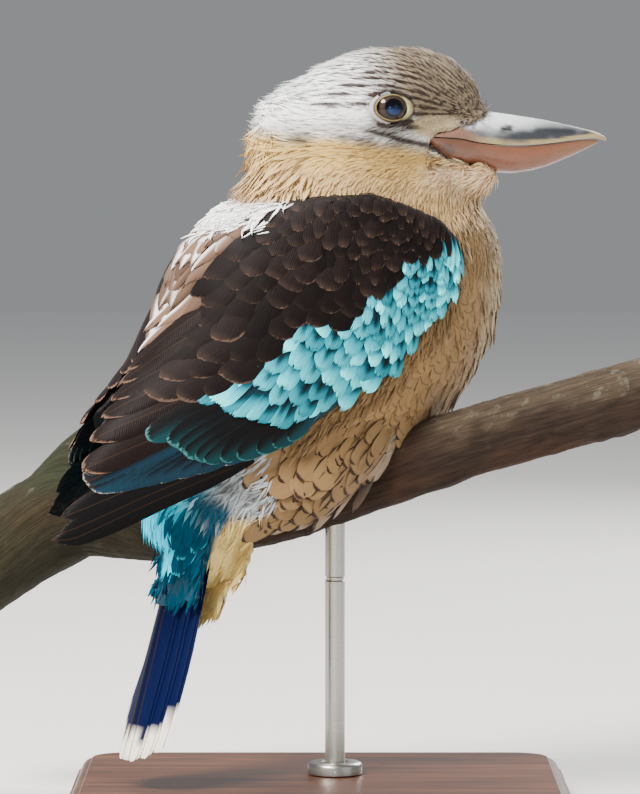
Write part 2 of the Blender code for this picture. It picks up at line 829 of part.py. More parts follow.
def limb(name, knots, count, sides, seed):
    draw = np.random.default_rng(seed)
    phases = draw.uniform(0, 2 * math.pi, 6)
    rings = []
    for i, (centre, across, up, radius) in enumerate(perch_frame(knots, count)):
        ring = []
        for j in range(sides):
            angle = 2 * math.pi * j / sides
            swell = 0.022 * math.sin(2 * angle + 0.35 * i + phases[0])
            swell += 0.018 * math.sin(3 * angle - 0.5 * i + phases[1])
            swell += 0.022 * math.sin(0.9 * i + phases[2]) * math.sin(angle + phases[3])
            reach = radius * (1 + swell)
            ring.append(centre + across * (reach * math.cos(angle)) + up * (reach * math.sin(angle)))
        rings.append(ring)
    return loft(name, rings)


def build_perch():
    main_limb = limb("main_limb", PERCH_LINE, 24, 13, 4)
    return union("perch", [main_limb, limb("fork", FORK_LINE, 6, 10, 9)], "bark")


def perch_at(x):
    """Centre, direction along, side, up and radius of the perch at a world x in millimetres."""
    rows = smooth_line(PERCH_LINE, 121)
    values = [float(np.interp(x, rows[:, 0], rows[:, k])) for k in (1, 2, 3)]
    ahead = [float(np.interp(x + 2, rows[:, 0], rows[:, k])) for k in (1, 2)]
    run = Vector((2, ahead[0] - values[0], ahead[1] - values[1])).normalized()
    side = Vector((0, 0, 1)).cross(run).normalized()
    return Vector((x, values[0], values[1])), run, side, run.cross(side), values[2]


def toe_path(place, tilt, heading, length, radius, count):
    """Points and normals of a toe that leaves the place in a heading and bends round the perch."""
    run = perch_at(place)[1]
    turn = math.radians(heading) - math.atan2(run.y, run.x)
    made = []
    for s in np.linspace(0, length, count):
        centre, _, side, up, reach = perch_at(place + s * math.cos(turn) * run.x)
        angle = tilt - s * math.sin(turn) / (reach + radius)
        normal = up * math.cos(angle) - side * math.sin(angle)
        made.append((centre + normal * (reach + radius * 0.85), normal))
    return made


def stand_base():
    wide, deep, tall = (v * MM for v in STAND_SIZE)
    outline, corner = [], STAND_CORNER * MM
    for k, (sx, sy) in enumerate(((1, 1), (-1, 1), (-1, -1), (1, -1))):
        for i in range(6):
            angle = math.pi / 2 * (k + i / 5)
            centre = Vector((sx * (wide / 2 - corner), sy * (deep / 2 - corner)))
            out = Vector((math.cos(angle), math.sin(angle)))
            outline.append((centre + out * corner, out))
    rings = []
    for height, inset in ((0, 0), (tall - 3 * MM, 0), (tall - 1 * MM, 1 * MM), (tall, 3 * MM)):
        rings.append([Vector((*(p - n * inset), height)) for p, n in outline])
    return loft("stand_base", rings, "stand_wood")


def stand_rod(perch):
    x, y = ROD_PLACE
    tall = STAND_SIZE[2]
    axis = (Vector((1, 0, 0)), Vector((0, 1, 0)))
    stations = [(Vector((x, y, z)) * MM, *axis, ROD_RADIUS * MM) for z in (tall + 0.3, 128)]
    rod = tube("stand_rod", stations, 24, "stand_steel")
    return carve(rod, perch)


def stand_collar():
    x, y = ROD_PLACE
    tall = STAND_SIZE[2] + 0.3
    outer, height = COLLAR
    inner = ROD_RADIUS + 0.3
    profile = ((inner, 0), (outer, 0), (outer, height - 1.5), (outer - 1.5, height), (inner, height))
    rings, count = [], 24
    for i in range(count):
        angle = 2 * math.pi * i / count
        c, s = math.cos(angle), math.sin(angle)
        rings.append([Vector((x + r * c, y + r * s, tall + h)) * MM for r, h in profile])
    return hoop("stand_collar", rings, "stand_steel")


def build_head(skin):
    """Head, bill, eyes and lids, fitted into one another."""
    head = body_part(skin, "head", "head_coat", above=HEAD_CUT)
    flat_under = [(row[0], row[2], row[2], row[3]) for row in UPPER_BILL]
    flat_top = [(row[0], row[1], row[1], row[3]) for row in LOWER_BILL]
    upper = loft("bill_upper", bill_rings(UPPER_BILL, flat_under), "bill_horn")
    lower = loft("bill_lower", bill_rings(flat_top, LOWER_BILL), "bill_flesh")
    root = loft("root", bill_rings(UPPER_BILL[:8], LOWER_BILL[:8]))
    carve(head, root)
    remove(root)
    place, radii = NOSTRIL
    for side in SIDES.values():
        centre = head_place(Vector((place[0], side * place[1], place[2])) * MM)
        pit = ball("pit", centre, Vector(radii) * MM, HEAD_TURN - side * math.radians(9), 6, 8)
        boolean(upper, pit)
        remove(pit)
    keep_largest(upper)

    made = [head, upper, lower]
    tree = BVHTree.FromPolygons([v.co for v in skin.data.vertices], [p.vertices for p in skin.data.polygons])
    for name, side in SIDES.items():
        socket = eye_socket(side)
        boolean(head, socket)
        remove(socket)
        made += [eyeball(f"eye_{name}", side), eyelids(f"eyelids_{name}", side, tree)]
    keep_largest(head)
    return made


def build_wing(skin, name):
    pad = finish_node(wing_pad(SIDES[name], f"wing_{name}"), "brown_feather")
    wing = carve(pad, skin, gap=0.8 * MM, thin=0.4)
    return union(f"wing_{name}", [wing, *wing_vanes(SIDES[name])], "brown_feather")


def build_tail(rump, torso):
    """The tail, and the pads of short feathers over and under its root."""
    tail = carve(union("tail", tail_vanes(), "blue_feather"), rump)
    rows = [(-34, 10, 3, -3), (-22, 16, 6.5, -3), (-5, 19, 6.3, -2), (12, 17, 4.6, 0), (24, 11, 3, 1)]
    tiers = covert_vanes(((34, 28, 13, 4, 1.8, 3.1), (20, 24, 15, 3, 3.2, 5.0)), 7.5)
    above = union("uppertail_coverts", [fan("pad", rows), *tiers], "azure_feather")
    rows = [(-18, 17, -3, -27), (-4, 18, -2, -25), (8, 16, -2, -21), (18, 11, -2, -16), (25, 5, -3, -11)]
    tiers = covert_vanes(((34, 28, 7, 3, -17, -12.5), (21, 26, 10, 3, -21, -17)), 7.5)
    below = union("undertail_coverts", [fan("pad", rows, belly=True), *tiers], "cream_coat")
    return [tail, carve(above, rump, tail), carve(below, rump, tail, torso)]


def toe_and_claw(toe, name, place, tilt, heading, length, radius):
    """A toe laid over the perch, and its hooked claw."""
    path = toe_path(place, tilt, heading, length, radius, 7)
    stations = []
    for i, (centre, normal) in enumerate(path):
        step = (path[min(i + 1, 6)][0] - path[max(i - 1, 0)][0]).normalized()
        width = radius * (1.06 if i % 2 else 0.94) * (1 - 0.02 * i)
        stations.append((centre * MM, step.cross(normal).normalized(), normal, width * MM))
    tip, normal = path[-1]
    step = (tip - path[-2][0]).normalized()
    across = step.cross(normal).normalized()
    hook = []
    for i in range(6):
        share = i / 5
        rise = 0.9 * math.sin(math.pi * share) - 3 * share * share
        lean = (step + normal * (0.2 - 1.3 * share)).normalized()
        up = normal if i == 0 else -lean.cross(across)
        centre = tip + step * (0.3 + CLAW_LENGTH * share) + normal * rise
        hook.append((centre * MM, across, up, (1.75 * (1 - share) + 0.25) * MM))
    return tube(f"{toe}_{name}", stations, 6), tube(f"claw_{toe}_{name}", hook, 6, "claw_horn")


def build_foot(name, perch):
    """A foot that grips the perch, and its claws."""
    place, tilt = FEET[name]
    parts, claws = [], []
    for toe, heading, length, radius in TOES:
        if name == "left" and toe != "hind":
            heading = 2 * FORWARD - heading
        part, claw = toe_and_claw(toe, name, place, tilt, heading, length, radius)
        parts.append(part)
        claws.append(carve(claw, perch))
    centre, run, side, up, reach = perch_at(place)
    ankle = []
    for i in range(4):
        rise = 4.5 * i
        middle = centre + up * (reach + 1.5 + rise) - Vector((0.2, 0.12, 0)) * rise
        ankle.append((middle * MM, run, side, (3.6 + 0.3 * i) * MM))
    parts.append(tube(f"ankle_{name}", ankle, 8))
    return carve(union(f"foot_{name}", parts, "foot_skin"), perch), claws


def main():
    clear_scene()
    skin = body_skin()
    neck = body_part(skin, "neck", "cream_coat", below=HEAD_CUT, above=NECK_CUT)
    torso = body_part(skin, "torso", "cream_coat", below=NECK_CUT, above=RUMP_CUT)
    rump = body_part(skin, "rump", "azure_feather", below=RUMP_CUT)
    tail = build_tail(rump, torso)
    made = [neck, torso, rump, *tail, *build_head(skin), *(build_wing(skin, name) for name in SIDES)]
    remove(skin)
    pose(*made)

    perch = build_perch()
    for name in SIDES:
        foot, claws = build_foot(name, perch)
        for flesh in (torso, rump, tail[2]):
            carve(flesh, foot, gap=0.7 * MM, thin=0.3)
            carve(flesh, *claws)
    for flesh in (torso, rump, tail[2]):
        carve(flesh, perch)

    stand_base()
    stand_rod(perch)
    stand_collar()


main()
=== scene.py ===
"""The looks of a life-size still model of a male blue-winged kookaburra on a cut branch and a stand.

The bird's own frame has +X forward along its heading, +Y to its left and +Z up, in millimetres. The head
has a frame of its own, turned a little more to the right. Both are turned into the frame of the stand,
whose origin is the centre of the base's underside, when a mesh is made.
"""

from __future__ import annotations

import json
import logging
import math
from collections.abc import Callable
from dataclasses import dataclass
from enum import Enum
from functools import partial

import bmesh
import bpy
import numpy as np
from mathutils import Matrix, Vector
from mathutils.bvhtree import BVHTree

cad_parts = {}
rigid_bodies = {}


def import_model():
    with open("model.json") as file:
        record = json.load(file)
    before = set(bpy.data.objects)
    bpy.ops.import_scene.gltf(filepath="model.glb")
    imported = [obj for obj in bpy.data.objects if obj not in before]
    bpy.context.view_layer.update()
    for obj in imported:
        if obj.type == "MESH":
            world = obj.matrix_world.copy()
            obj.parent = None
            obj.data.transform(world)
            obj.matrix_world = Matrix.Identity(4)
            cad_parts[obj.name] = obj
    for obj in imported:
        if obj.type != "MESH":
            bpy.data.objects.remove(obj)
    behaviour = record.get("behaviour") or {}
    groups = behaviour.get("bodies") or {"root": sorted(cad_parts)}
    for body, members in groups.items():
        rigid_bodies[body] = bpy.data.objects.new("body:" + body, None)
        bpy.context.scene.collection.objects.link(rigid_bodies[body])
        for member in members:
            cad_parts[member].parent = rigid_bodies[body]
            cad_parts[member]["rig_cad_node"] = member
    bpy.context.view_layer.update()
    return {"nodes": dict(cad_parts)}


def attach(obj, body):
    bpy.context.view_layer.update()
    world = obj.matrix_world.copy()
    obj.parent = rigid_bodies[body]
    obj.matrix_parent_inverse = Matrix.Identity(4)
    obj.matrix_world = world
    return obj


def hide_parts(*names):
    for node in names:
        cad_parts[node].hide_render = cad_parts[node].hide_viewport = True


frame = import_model()

LOG = logging.getLogger("kookaburra")
MM = 0.001
SIDES = {"right": -1, "left": 1}
BODY_YAW = math.radians(30.0)
HEAD_TURN = math.radians(-20.0)
HEAD_PIVOT = np.array((15.0, 0.0, 0.0))
PATCH = 0.003

Array = np.ndarray
Place = Callable[[Array, Array], tuple[Array, Array]]


# Arithmetic on arrays of points


def turned(points: Array, angle: float) -> Array:
    """Turns points about the upright axis.

    Args:
        points: rows of x, y, z.
        angle: in radians, anticlockwise seen from above.

    Returns:
        The turned rows.
    """
    c, s = math.cos(angle), math.sin(angle)
    x, y = points[..., 0], points[..., 1]
    return np.stack((x * c - y * s, x * s + y * c, points[..., 2]), axis=-1)


def bird_to_world(points: Array) -> Array:
    """Points of the bird's frame, in the stand's frame in metres."""
    return turned(points, BODY_YAW) * MM


def world_to_bird(points: Array) -> Array:
    """Points of the stand's frame in metres, in the bird's frame."""
    return turned(points / MM, -BODY_YAW)


def head_to_bird(points: Array) -> Array:
    """Points of the head's frame, in the bird's frame."""
    return turned(points, HEAD_TURN) + HEAD_PIVOT


def bird_to_head(points: Array) -> Array:
    """Points of the bird's frame, in the head's frame."""
    return turned(points - HEAD_PIVOT, -HEAD_TURN)


def smoothstep(low: float, high: float, x: Array) -> Array:
    """A soft step from 0 at low to 1 at high, where low may be the larger."""
    t = np.clip((x - low) / (high - low), 0, 1)
    return t * t * (3 - 2 * t)


def along_rows(rows: tuple, x: Array, column: int = 1) -> Array:
    """Values of a table's column on straight lines between its rows."""
    return np.interp(x, [row[0] for row in rows], [row[column] for row in rows])


def unit(vectors: Array) -> Array:
    """Vectors at length one."""
    return vectors / np.maximum(np.linalg.norm(vectors, axis=-1, keepdims=True), 1e-9)


def mixed(first: Array, second: Array, share: Array) -> Array:
    """Rows of colours mixed by a share for each row."""
    return first + (second - first) * np.asarray(share)[..., None]


def linear(code: str) -> Array:
    """The linear colour of an sRGB hex code."""
    srgb = np.array([int(code[i : i + 2], 16) for i in (1, 3, 5)]) / 255
    return np.where(srgb <= 0.04045, srgb / 12.92, ((srgb + 0.055) / 1.055) ** 2.4)


def noise(points: Array, size: float, seed: int) -> Array:
    """Smooth noise between -1 and 1.

    Args:
        points: rows of x, y, z.
        size: distance between the noise's humps, in the points' unit.
        seed: picks another pattern.

    Returns:
        One value for each row.
    """
    grid = points / size + 17.17 * seed
    base = np.floor(grid)
    part = grid - base
    part = part * part * (3 - 2 * part)
    total = np.zeros(points.shape[:-1])
    for corner in np.ndindex(2, 2, 2):
        cell = (base + corner) @ np.array((127.1, 311.7, 74.7))
        value = np.modf(np.abs(np.sin(cell) * 43758.5453))[0]
        total += value * np.prod(np.where(corner, part, 1 - part), axis=-1)
    return 2 * total - 1


def circle(count: int) -> Array:
    """Even angles once round."""
    return 2 * math.pi * np.arange(count) / count


def smooth_line(knots: tuple, count: int) -> Array:
    """Rows on a Catmull-Rom curve.

    Args:
        knots: the rows that the curve passes through.
        count: how many rows to make.

    Returns:
        The rows, evenly spread over the curve's parameter.
    """
    rows = np.array(knots, float)
    ends = np.vstack([2 * rows[0] - rows[1], rows, 2 * rows[-1] - rows[-2]])
    t = np.linspace(0, len(rows) - 1, count)
    i = np.minimum(t.astype(int), len(rows) - 2)
    u = (t - i)[:, None]
    a, b, c, d = (ends[i + k] for k in range(4))
    return 0.5 * (2 * b + (c - a) * u + (2 * a - 5 * b + 4 * c - d) * u**2 + (3 * b - a - 3 * c + d) * u**3)


# Meshes


def placed(name: str, data: bpy.types.ID) -> bpy.types.Object:
    """A new object in the scene."""
    obj = bpy.data.objects.new(name, data)
    bpy.context.scene.collection.objects.link(obj)
    return obj


def mesh_piece(name: str, points: Array, faces: list, smooth: bool = True) -> bpy.types.Object:
    """A mesh object from points in metres.

    Args:
        name: the piece's name.
        points: rows of x, y, z.
        faces: tuples of indices.
        smooth: whether the faces are shaded smooth.

    Returns:
        The object, linked to the scene.
    """
    mesh = bpy.data.meshes.new(name)
    mesh.from_pydata(np.asarray(points).tolist(), [], [tuple(int(i) for i in f) for f in faces])
    if smooth:
        mesh.shade_smooth()
    obj = placed(name, mesh)
    return obj


def ring_faces(rings: int, sides: int, caps: bool = True, closed: bool = False) -> list:
    """Faces through rings of equal length.

    Args:
        rings: how many rings.
        sides: points in each.
        caps: whether both ends are filled.
        closed: whether the last ring joins the first.

    Returns:
        The faces as tuples of indices.
    """
    faces = []
    for i in range(rings if closed else rings - 1):
        a, b = i * sides, ((i + 1) % rings) * sides
        for j in range(sides):
            k = (j + 1) % sides
            faces.append((a + j, a + k, b + k, b + j))
    if caps and not closed:
        faces.append(tuple(range(sides))[::-1])
        faces.append(tuple(range((rings - 1) * sides, rings * sides)))
    return faces


def face_out(obj: bpy.types.Object) -> bpy.types.Object:
    """Turns the faces of a closed mesh outwards."""
    bm = bmesh.new()
    bm.from_mesh(obj.data)
    bmesh.ops.recalc_face_normals(bm, faces=bm.faces)
    if bm.calc_volume(signed=True) < 0:
        bmesh.ops.reverse_faces(bm, faces=bm.faces)
    bm.to_mesh(obj.data)
    bm.free()
    return obj


def evaluated(obj: bpy.types.Object) -> bpy.types.Mesh:
    """The object's mesh as its modifiers leave it."""
    bpy.context.view_layer.update()
    return bpy.data.meshes.new_from_object(obj.evaluated_get(bpy.context.evaluated_depsgraph_get()))


def fused(name: str, parts: list, voxel: float, soften: int = 4) -> bpy.types.Object:
    """One closed surface over several overlapping solids.

    Args:
        name: the new piece's name.
        parts: mesh objects, which are removed unless they are nodes of the frame.
        voxel: detail of the surface in metres.
        soften: rounds of smoothing.

    Returns:
        The fused object.
    """
    bm = bmesh.new()
    for part in parts:
        bm.from_mesh(part.data)
        if "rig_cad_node" not in part:
            bpy.data.objects.remove(part, do_unlink=True)
    bmesh.ops.remove_doubles(bm, verts=bm.verts, dist=1e-6)
    mesh = bpy.data.meshes.new(name)
    bm.to_mesh(mesh)
    bm.free()
    obj = placed(name, mesh)
    remesh = obj.modifiers.new("fuse", "REMESH")
    remesh.mode = "VOXEL"
    remesh.voxel_size = voxel
    if soften:
        smooth = obj.modifiers.new("soften", "SMOOTH")
        smooth.factor = 0.5
        smooth.iterations = soften
    made = evaluated(obj)
    obj.modifiers.clear()
    obj.data = made
    made.shade_smooth()
    return obj


def points_of(mesh: bpy.types.Mesh) -> Array:
    """A mesh's points as rows."""
    flat = np.empty(len(mesh.vertices) * 3)
    mesh.vertices.foreach_get("co", flat)
    return flat.reshape(-1, 3)


def normals_of(mesh: bpy.types.Mesh) -> Array:
    """A mesh's normals at its points, as rows."""
    flat = np.empty(len(mesh.vertices) * 3)
    mesh.vertex_normals.foreach_get("vector", flat)
    return flat.reshape(-1, 3)


def set_points(mesh: bpy.types.Mesh, points: Array) -> None:
    """Moves a mesh's points."""
    mesh.vertices.foreach_set("co", np.ascontiguousarray(points, float).ravel())
    mesh.update()


def give(mesh: bpy.types.Mesh, name: str, values: Array) -> None:
    """Stores a vector for each point, or a colour under Tint and Rim, with alpha 1 if it is left out."""
    colour = name in ("Tint", "Rim")
    if colour and values.shape[1] == 3:
        values = np.column_stack((values, np.ones(len(values))))
    attribute = mesh.attributes.new(name, "FLOAT_COLOR" if colour else "FLOAT_VECTOR", "POINT")
    attribute.data.foreach_set("color" if colour else "vector",
                               np.ascontiguousarray(values, np.float32).ravel())


def give_uv(mesh: bpy.types.Mesh, points_uv: Array) -> None:
    """Stores the bake's UV map from a place for each point."""
    layer = mesh.uv_layers.new(name="OFBake")
    corners = np.empty(len(mesh.loops), int)
    mesh.loops.foreach_get("vertex_index", corners)
    layer.data.foreach_set("uv", np.ascontiguousarray(points_uv[corners], np.float32).ravel())


def hand_over(piece: bpy.types.Object, slot: str, *nodes: str) -> bpy.types.Object:
    """Gives a finished piece to the frame.

    Args:
        piece: the mesh object.
        slot: the record's material slot; not used.
        nodes: the solids that the piece stands for.

    Returns:
        The piece.
    """
    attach(piece, "root")
    if nodes:
        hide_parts(*nodes)
    LOG.info("%s: %d faces", piece.name, len(piece.data.polygons))
    return piece


# Materials


def feed(node: bpy.types.Node, inputs: dict) -> bpy.types.Node:
    """Sets a node's inputs.

    Args:
        node: the node.
        inputs: by name or index, a value, an output socket, or a node whose first output is meant.

    Returns:
        The node.
    """
    for key, value in inputs.items():
        source = value.outputs[0] if isinstance(value, bpy.types.Node) else value
        if isinstance(source, bpy.types.NodeSocket):
            node.id_data.links.new(source, node.inputs[key])
        else:
            node.inputs[key].default_value = source
    return node


def add_node(tree: bpy.types.NodeTree, kind: str, inputs: dict | None = None, **settings) -> bpy.types.Node:
    """Adds a node.

    Args:
        tree: the node tree.
        kind: the node's type.
        inputs: its inputs, as feed takes them.
        settings: the node's own properties.

    Returns:
        The node.
    """
    node = tree.nodes.new(kind)
    for name, value in settings.items():
        setattr(node, name, value)
    return feed(node, inputs or {})


def blank(name: str) -> tuple[bpy.types.Material, Callable, bpy.types.Node]:
    """A new material, what adds nodes to it, and its Principled shader."""
    made = bpy.data.materials.new(name)
    made.use_nodes = True
    return made, partial(add_node, made.node_tree), made.node_tree.nodes["Principled BSDF"]


def rgba(code: str) -> tuple[float, float, float, float]:
    """A hex colour as a linear colour with alpha 1."""
    return (*(float(c) for c in linear(code)), 1.0)


@dataclass(frozen=True)
class Plumage:
    """Feathers: keratin vanes with fine barbs, which scatter light softly and shine a little along the barbs.

    The colour and the fringe come with each feather, as its own attributes.
    """

    name: str
    roughness: float = 0.62
    sheen: float = 0.25
    barb_spacing: float = 0.75  # millimetres: real barbs are finer and would not show
    barb_contrast: float = 0.10
    lengthwise: bool = False  # loose barbs that run with the shaft, as on body feathers
    specular: float = 0.3
    fray: float = 0.16
    shaft: str = "#2a1d16"
    shaft_width: float = 0.0
    bar: str = "#4a3220"

    def material(self) -> bpy.types.Material:
        """Builds the material."""
        made, add, shader = blank(self.name)
        tint = add("ShaderNodeAttribute", attribute_name="Tint")
        rim = add("ShaderNodeAttribute", attribute_name="Rim")
        vane = add("ShaderNodeAttribute", attribute_name="Vane")
        span = add("ShaderNodeAttribute", attribute_name="Span")
        vane = add("ShaderNodeSeparateXYZ", {0: vane.outputs["Vector"]})
        span = add("ShaderNodeSeparateXYZ", {0: span.outputs["Vector"]})
        aside, along, chance = vane.outputs
        across = add("ShaderNodeMath", {0: span}, operation="ABSOLUTE")
        barb = add("ShaderNodeMath", {0: span.outputs[1], 1: across}, operation="SUBTRACT")
        other = across
        if self.lengthwise:
            barb, other, _ = span.outputs
        seed = add("ShaderNodeMath", {0: chance, 1: 40.0}, operation="MULTIPLY")
        lane = add("ShaderNodeCombineXYZ", {0: barb, 1: other, 2: seed})
        scaled = add("ShaderNodeVectorMath", {0: lane, 1: (1 / self.barb_spacing, 0.12, 1)},
                     operation="MULTIPLY")
        fibres = add("ShaderNodeTexNoise", {"Vector": scaled, "Scale": 1.0, "Detail": 2.0, "Roughness": 0.6})
        waves = add("ShaderNodeMath", {0: barb, 1: 2 * math.pi / self.barb_spacing}, operation="MULTIPLY")
        waves = add("ShaderNodeMath", {0: waves}, operation="SINE")
        waves = add("ShaderNodeMath", {0: waves, 1: 0.22, 2: fibres}, operation="MULTIPLY_ADD")

        # How near the outline a point lies: 1 on the outline of the rounded end
        end = add("ShaderNodeMapRange", {0: along, 1: 0.5, 2: 1.0, 3: 0.0, 4: 1.0})
        end = add("ShaderNodeMath", {0: end, 1: 2.0}, operation="POWER")
        inside = add("ShaderNodeMath", {0: 1.0, 1: end}, operation="SUBTRACT")
        beside = add("ShaderNodeMath", {0: aside, 1: aside}, operation="MULTIPLY")
        reach = add("ShaderNodeMath", {0: beside, 1: inside, 2: end}, operation="MULTIPLY_ADD")
        reach = add("ShaderNodeMath", {0: reach}, operation="SQRT")
        frayed = add("ShaderNodeMath", {0: fibres, 1: self.fray, 2: reach}, operation="MULTIPLY_ADD")
        width = rim.outputs["Alpha"]
        start = add("ShaderNodeMath", {0: 1.04, 1: width}, operation="SUBTRACT")
        stop = add("ShaderNodeMath", {0: start, 1: 0.07}, operation="ADD")
        fringe = add("ShaderNodeMapRange", {0: frayed, 1: start, 2: stop}, interpolation_type="SMOOTHSTEP")
        shown = add("ShaderNodeMath", {0: width, 1: 0.01}, operation="GREATER_THAN")
        fringe = add("ShaderNodeMath", {0: fringe, 1: shown}, operation="MULTIPLY")
        colour = add("ShaderNodeMix", {"Factor": fringe, "A": tint.outputs["Color"],
                                       "B": rim.outputs["Color"]}, data_type="RGBA").outputs[2]

        # A dark wavy bar across the feather before its end
        curve = add("ShaderNodeMath", {0: beside, 1: 0.12, 2: along}, operation="MULTIPLY_ADD")
        curve = add("ShaderNodeMath", {0: fibres, 1: 0.10, 2: curve}, operation="MULTIPLY_ADD")
        curve = add("ShaderNodeMath", {0: curve, 1: 0.80}, operation="SUBTRACT")
        curve = add("ShaderNodeMath", {0: curve}, operation="ABSOLUTE")
        bar = add("ShaderNodeMapRange", {0: curve, 1: 0.04, 2: 0.012, 3: 0.0, 4: 1.0},
                  interpolation_type="SMOOTHSTEP")
        bar = add("ShaderNodeMath", {0: bar, 1: tint.outputs["Alpha"]}, operation="MULTIPLY")
        colour = add("ShaderNodeMix", {"Factor": bar, "A": colour, "B": rgba(self.bar)},
                     data_type="RGBA").outputs[2]
        if self.shaft_width:
            shaft = add("ShaderNodeMapRange", {0: across, 1: self.shaft_width, 2: self.shaft_width / 2,
                                               3: 0.0, 4: 0.8})
            colour = add("ShaderNodeMix", {"Factor": shaft, "A": colour, "B": rgba(self.shaft)},
                         data_type="RGBA").outputs[2]
        value = add("ShaderNodeMapRange", {0: waves, 1: 0.2, 2: 0.8, 3: 1 - self.barb_contrast,
                                           4: 1 + self.barb_contrast})
        colour = add("ShaderNodeHueSaturation", {"Value": value, "Color": colour})
        bump = add("ShaderNodeBump", {"Strength": 0.35, "Distance": 0.0003, "Height": waves})
        feed(shader, {"Base Color": colour, "Normal": bump, "Roughness": self.roughness,
                      "Sheen Weight": self.sheen, "Sheen Roughness": 0.4,
                      "Specular IOR Level": self.specular})
        return made


@dataclass(frozen=True)
class Horn:
    """Horn of bill and claws: grown keratin, worn to a dull gloss, with fine lengthwise grain and pits.

    The broad markings come from the Tint attribute.
    """

    name: str
    roughness: float = 0.32
    coat: float = 0.25
    grain: float = 0.12

    def material(self) -> bpy.types.Material:
        """Builds the material."""
        made, add, shader = blank(self.name)
        tint = add("ShaderNodeAttribute", attribute_name="Tint")
        span = add("ShaderNodeAttribute", attribute_name="Span")
        grain = add("ShaderNodeVectorMath", {0: span.outputs["Vector"], 1: (2.2, 0.16, 2.2)},
                    operation="MULTIPLY")
        grain = add("ShaderNodeTexNoise", {"Vector": grain, "Scale": 1.0, "Detail": 5.0, "Roughness": 0.65})
        blotch = add("ShaderNodeTexNoise", {"Vector": span.outputs["Vector"], "Scale": 0.22, "Detail": 4.0})
        value = add("ShaderNodeMapRange", {0: grain, 1: 0.3, 2: 0.7, 3: 1 - self.grain, 4: 1 + self.grain})
        colour = add("ShaderNodeHueSaturation", {"Value": value, "Color": tint.outputs["Color"]})
        worn = add("ShaderNodeMapRange", {0: blotch, 1: 0.35, 2: 0.7, 3: self.roughness - 0.08,
                                          4: self.roughness + 0.16})
        bump = add("ShaderNodeBump", {"Strength": 0.3, "Distance": 0.0002, "Height": grain})
        feed(shader, {"Base Color": colour, "Roughness": worn, "Normal": bump, "Coat Weight": self.coat,
                      "Coat Roughness": 0.2, "IOR": 1.54})
        return made


@dataclass(frozen=True)
class Hide:
    """Bare skin of lids and feet: scaled and creased, dull with a faint wax.

    The broad markings come from the Tint attribute.
    """

    name: str
    scale: float  # millimetres across a scale
    roughness: float = 0.55

    def material(self) -> bpy.types.Material:
        """Builds the material."""
        made, add, shader = blank(self.name)
        tint = add("ShaderNodeAttribute", attribute_name="Tint")
        place = add("ShaderNodeTexCoord").outputs["Object"]
        cells = add("ShaderNodeTexVoronoi", {"Vector": place, "Scale": 1 / (self.scale * MM)},
                    feature="DISTANCE_TO_EDGE")
        fine = add("ShaderNodeTexNoise", {"Vector": place, "Scale": 2.5 / (self.scale * MM), "Detail": 3.0})
        dark = add("ShaderNodeMapRange", {0: cells, 1: 0.0, 2: 0.22, 3: 0.62, 4: 1.06})
        dark = add("ShaderNodeMath", {0: fine, 1: 0.25, 2: dark}, operation="MULTIPLY_ADD")
        colour = add("ShaderNodeHueSaturation", {"Value": dark, "Color": tint.outputs["Color"]})
        bump = add("ShaderNodeBump", {"Strength": 0.5, "Distance": 0.0003, "Height": dark})
        feed(shader, {"Base Color": colour, "Normal": bump, "Roughness": self.roughness})
        return made


@dataclass(frozen=True)
class Skin:
    """Down and skin under the feathers, in the feathers' own colours, matt."""

    name: str = "down_covered_skin"

    def material(self) -> bpy.types.Material:
        """Builds the material."""
        made, add, shader = blank(self.name)
        tint = add("ShaderNodeAttribute", attribute_name="Tint")
        place = add("ShaderNodeTexCoord").outputs["Object"]
        down = add("ShaderNodeTexNoise", {"Vector": place, "Scale": 900.0, "Detail": 3.0})
        value = add("ShaderNodeMapRange", {0: down, 1: 0.3, 2: 0.7, 3: 0.6, 4: 0.95})
        colour = add("ShaderNodeHueSaturation", {"Value": value, "Color": tint.outputs["Color"]})
        bump = add("ShaderNodeBump", {"Strength": 0.6, "Distance": 0.0004, "Height": down})
        feed(shader, {"Base Color": colour, "Normal": bump, "Roughness": 0.95})
        return made


# Feathers


def vane_grid(rows: int, columns: int) -> tuple[list, Array, Array]:
    """The faces of a thin closed vane whose two sides share their outline.

    Args:
        rows: points from root to tip.
        columns: points across.

    Returns:
        The faces, the index of the grid point under each point, and each point's side (1, -1 or 0 on the rim).
    """
    top = np.arange(rows * columns).reshape(rows, columns)
    below = top.copy()
    inner = (rows - 2) * (columns - 2)
    below[1:-1, 1:-1] = rows * columns + np.arange(inner).reshape(rows - 2, columns - 2)
    faces = []
    for i in range(rows - 1):
        for j in range(columns - 1):
            faces.append((top[i, j], top[i, j + 1], top[i + 1, j + 1], top[i + 1, j]))
            faces.append((below[i, j], below[i + 1, j], below[i + 1, j + 1], below[i, j + 1]))
    under = np.concatenate((top.ravel(), top[1:-1, 1:-1].ravel()))
    side = np.zeros((rows, columns))
    side[1:-1, 1:-1] = 1
    return faces, under, np.concatenate((side.ravel(), -np.ones(inner)))


def sharpen_rim(mesh: bpy.types.Mesh, rim: Array) -> None:
    """Marks the edges of a vane's outline sharp.

    Args:
        mesh: the vanes' mesh.
        rim: whether each point lies on an outline.
    """
    ends = np.empty(len(mesh.edges) * 2, int)
    mesh.edges.foreach_get("vertices", ends)
    ends = ends.reshape(-1, 2)
    mesh.edges.foreach_set("use_edge_sharp", rim[ends].all(axis=1))


class Outline(Enum):
    """Half widths of a body feather at places from its root to its tip."""

    ROUND = ((0.0, 0.45), (0.3, 0.9), (0.62, 1.0), (0.86, 0.86), (1.0, 0.5))
    TUFT = ((0.0, 0.5), (0.35, 1.0), (0.7, 0.78), (1.0, 0.05))
    LANCE = ((0.0, 0.4), (0.3, 0.9), (0.6, 0.9), (0.85, 0.5), (1.0, 0.05))


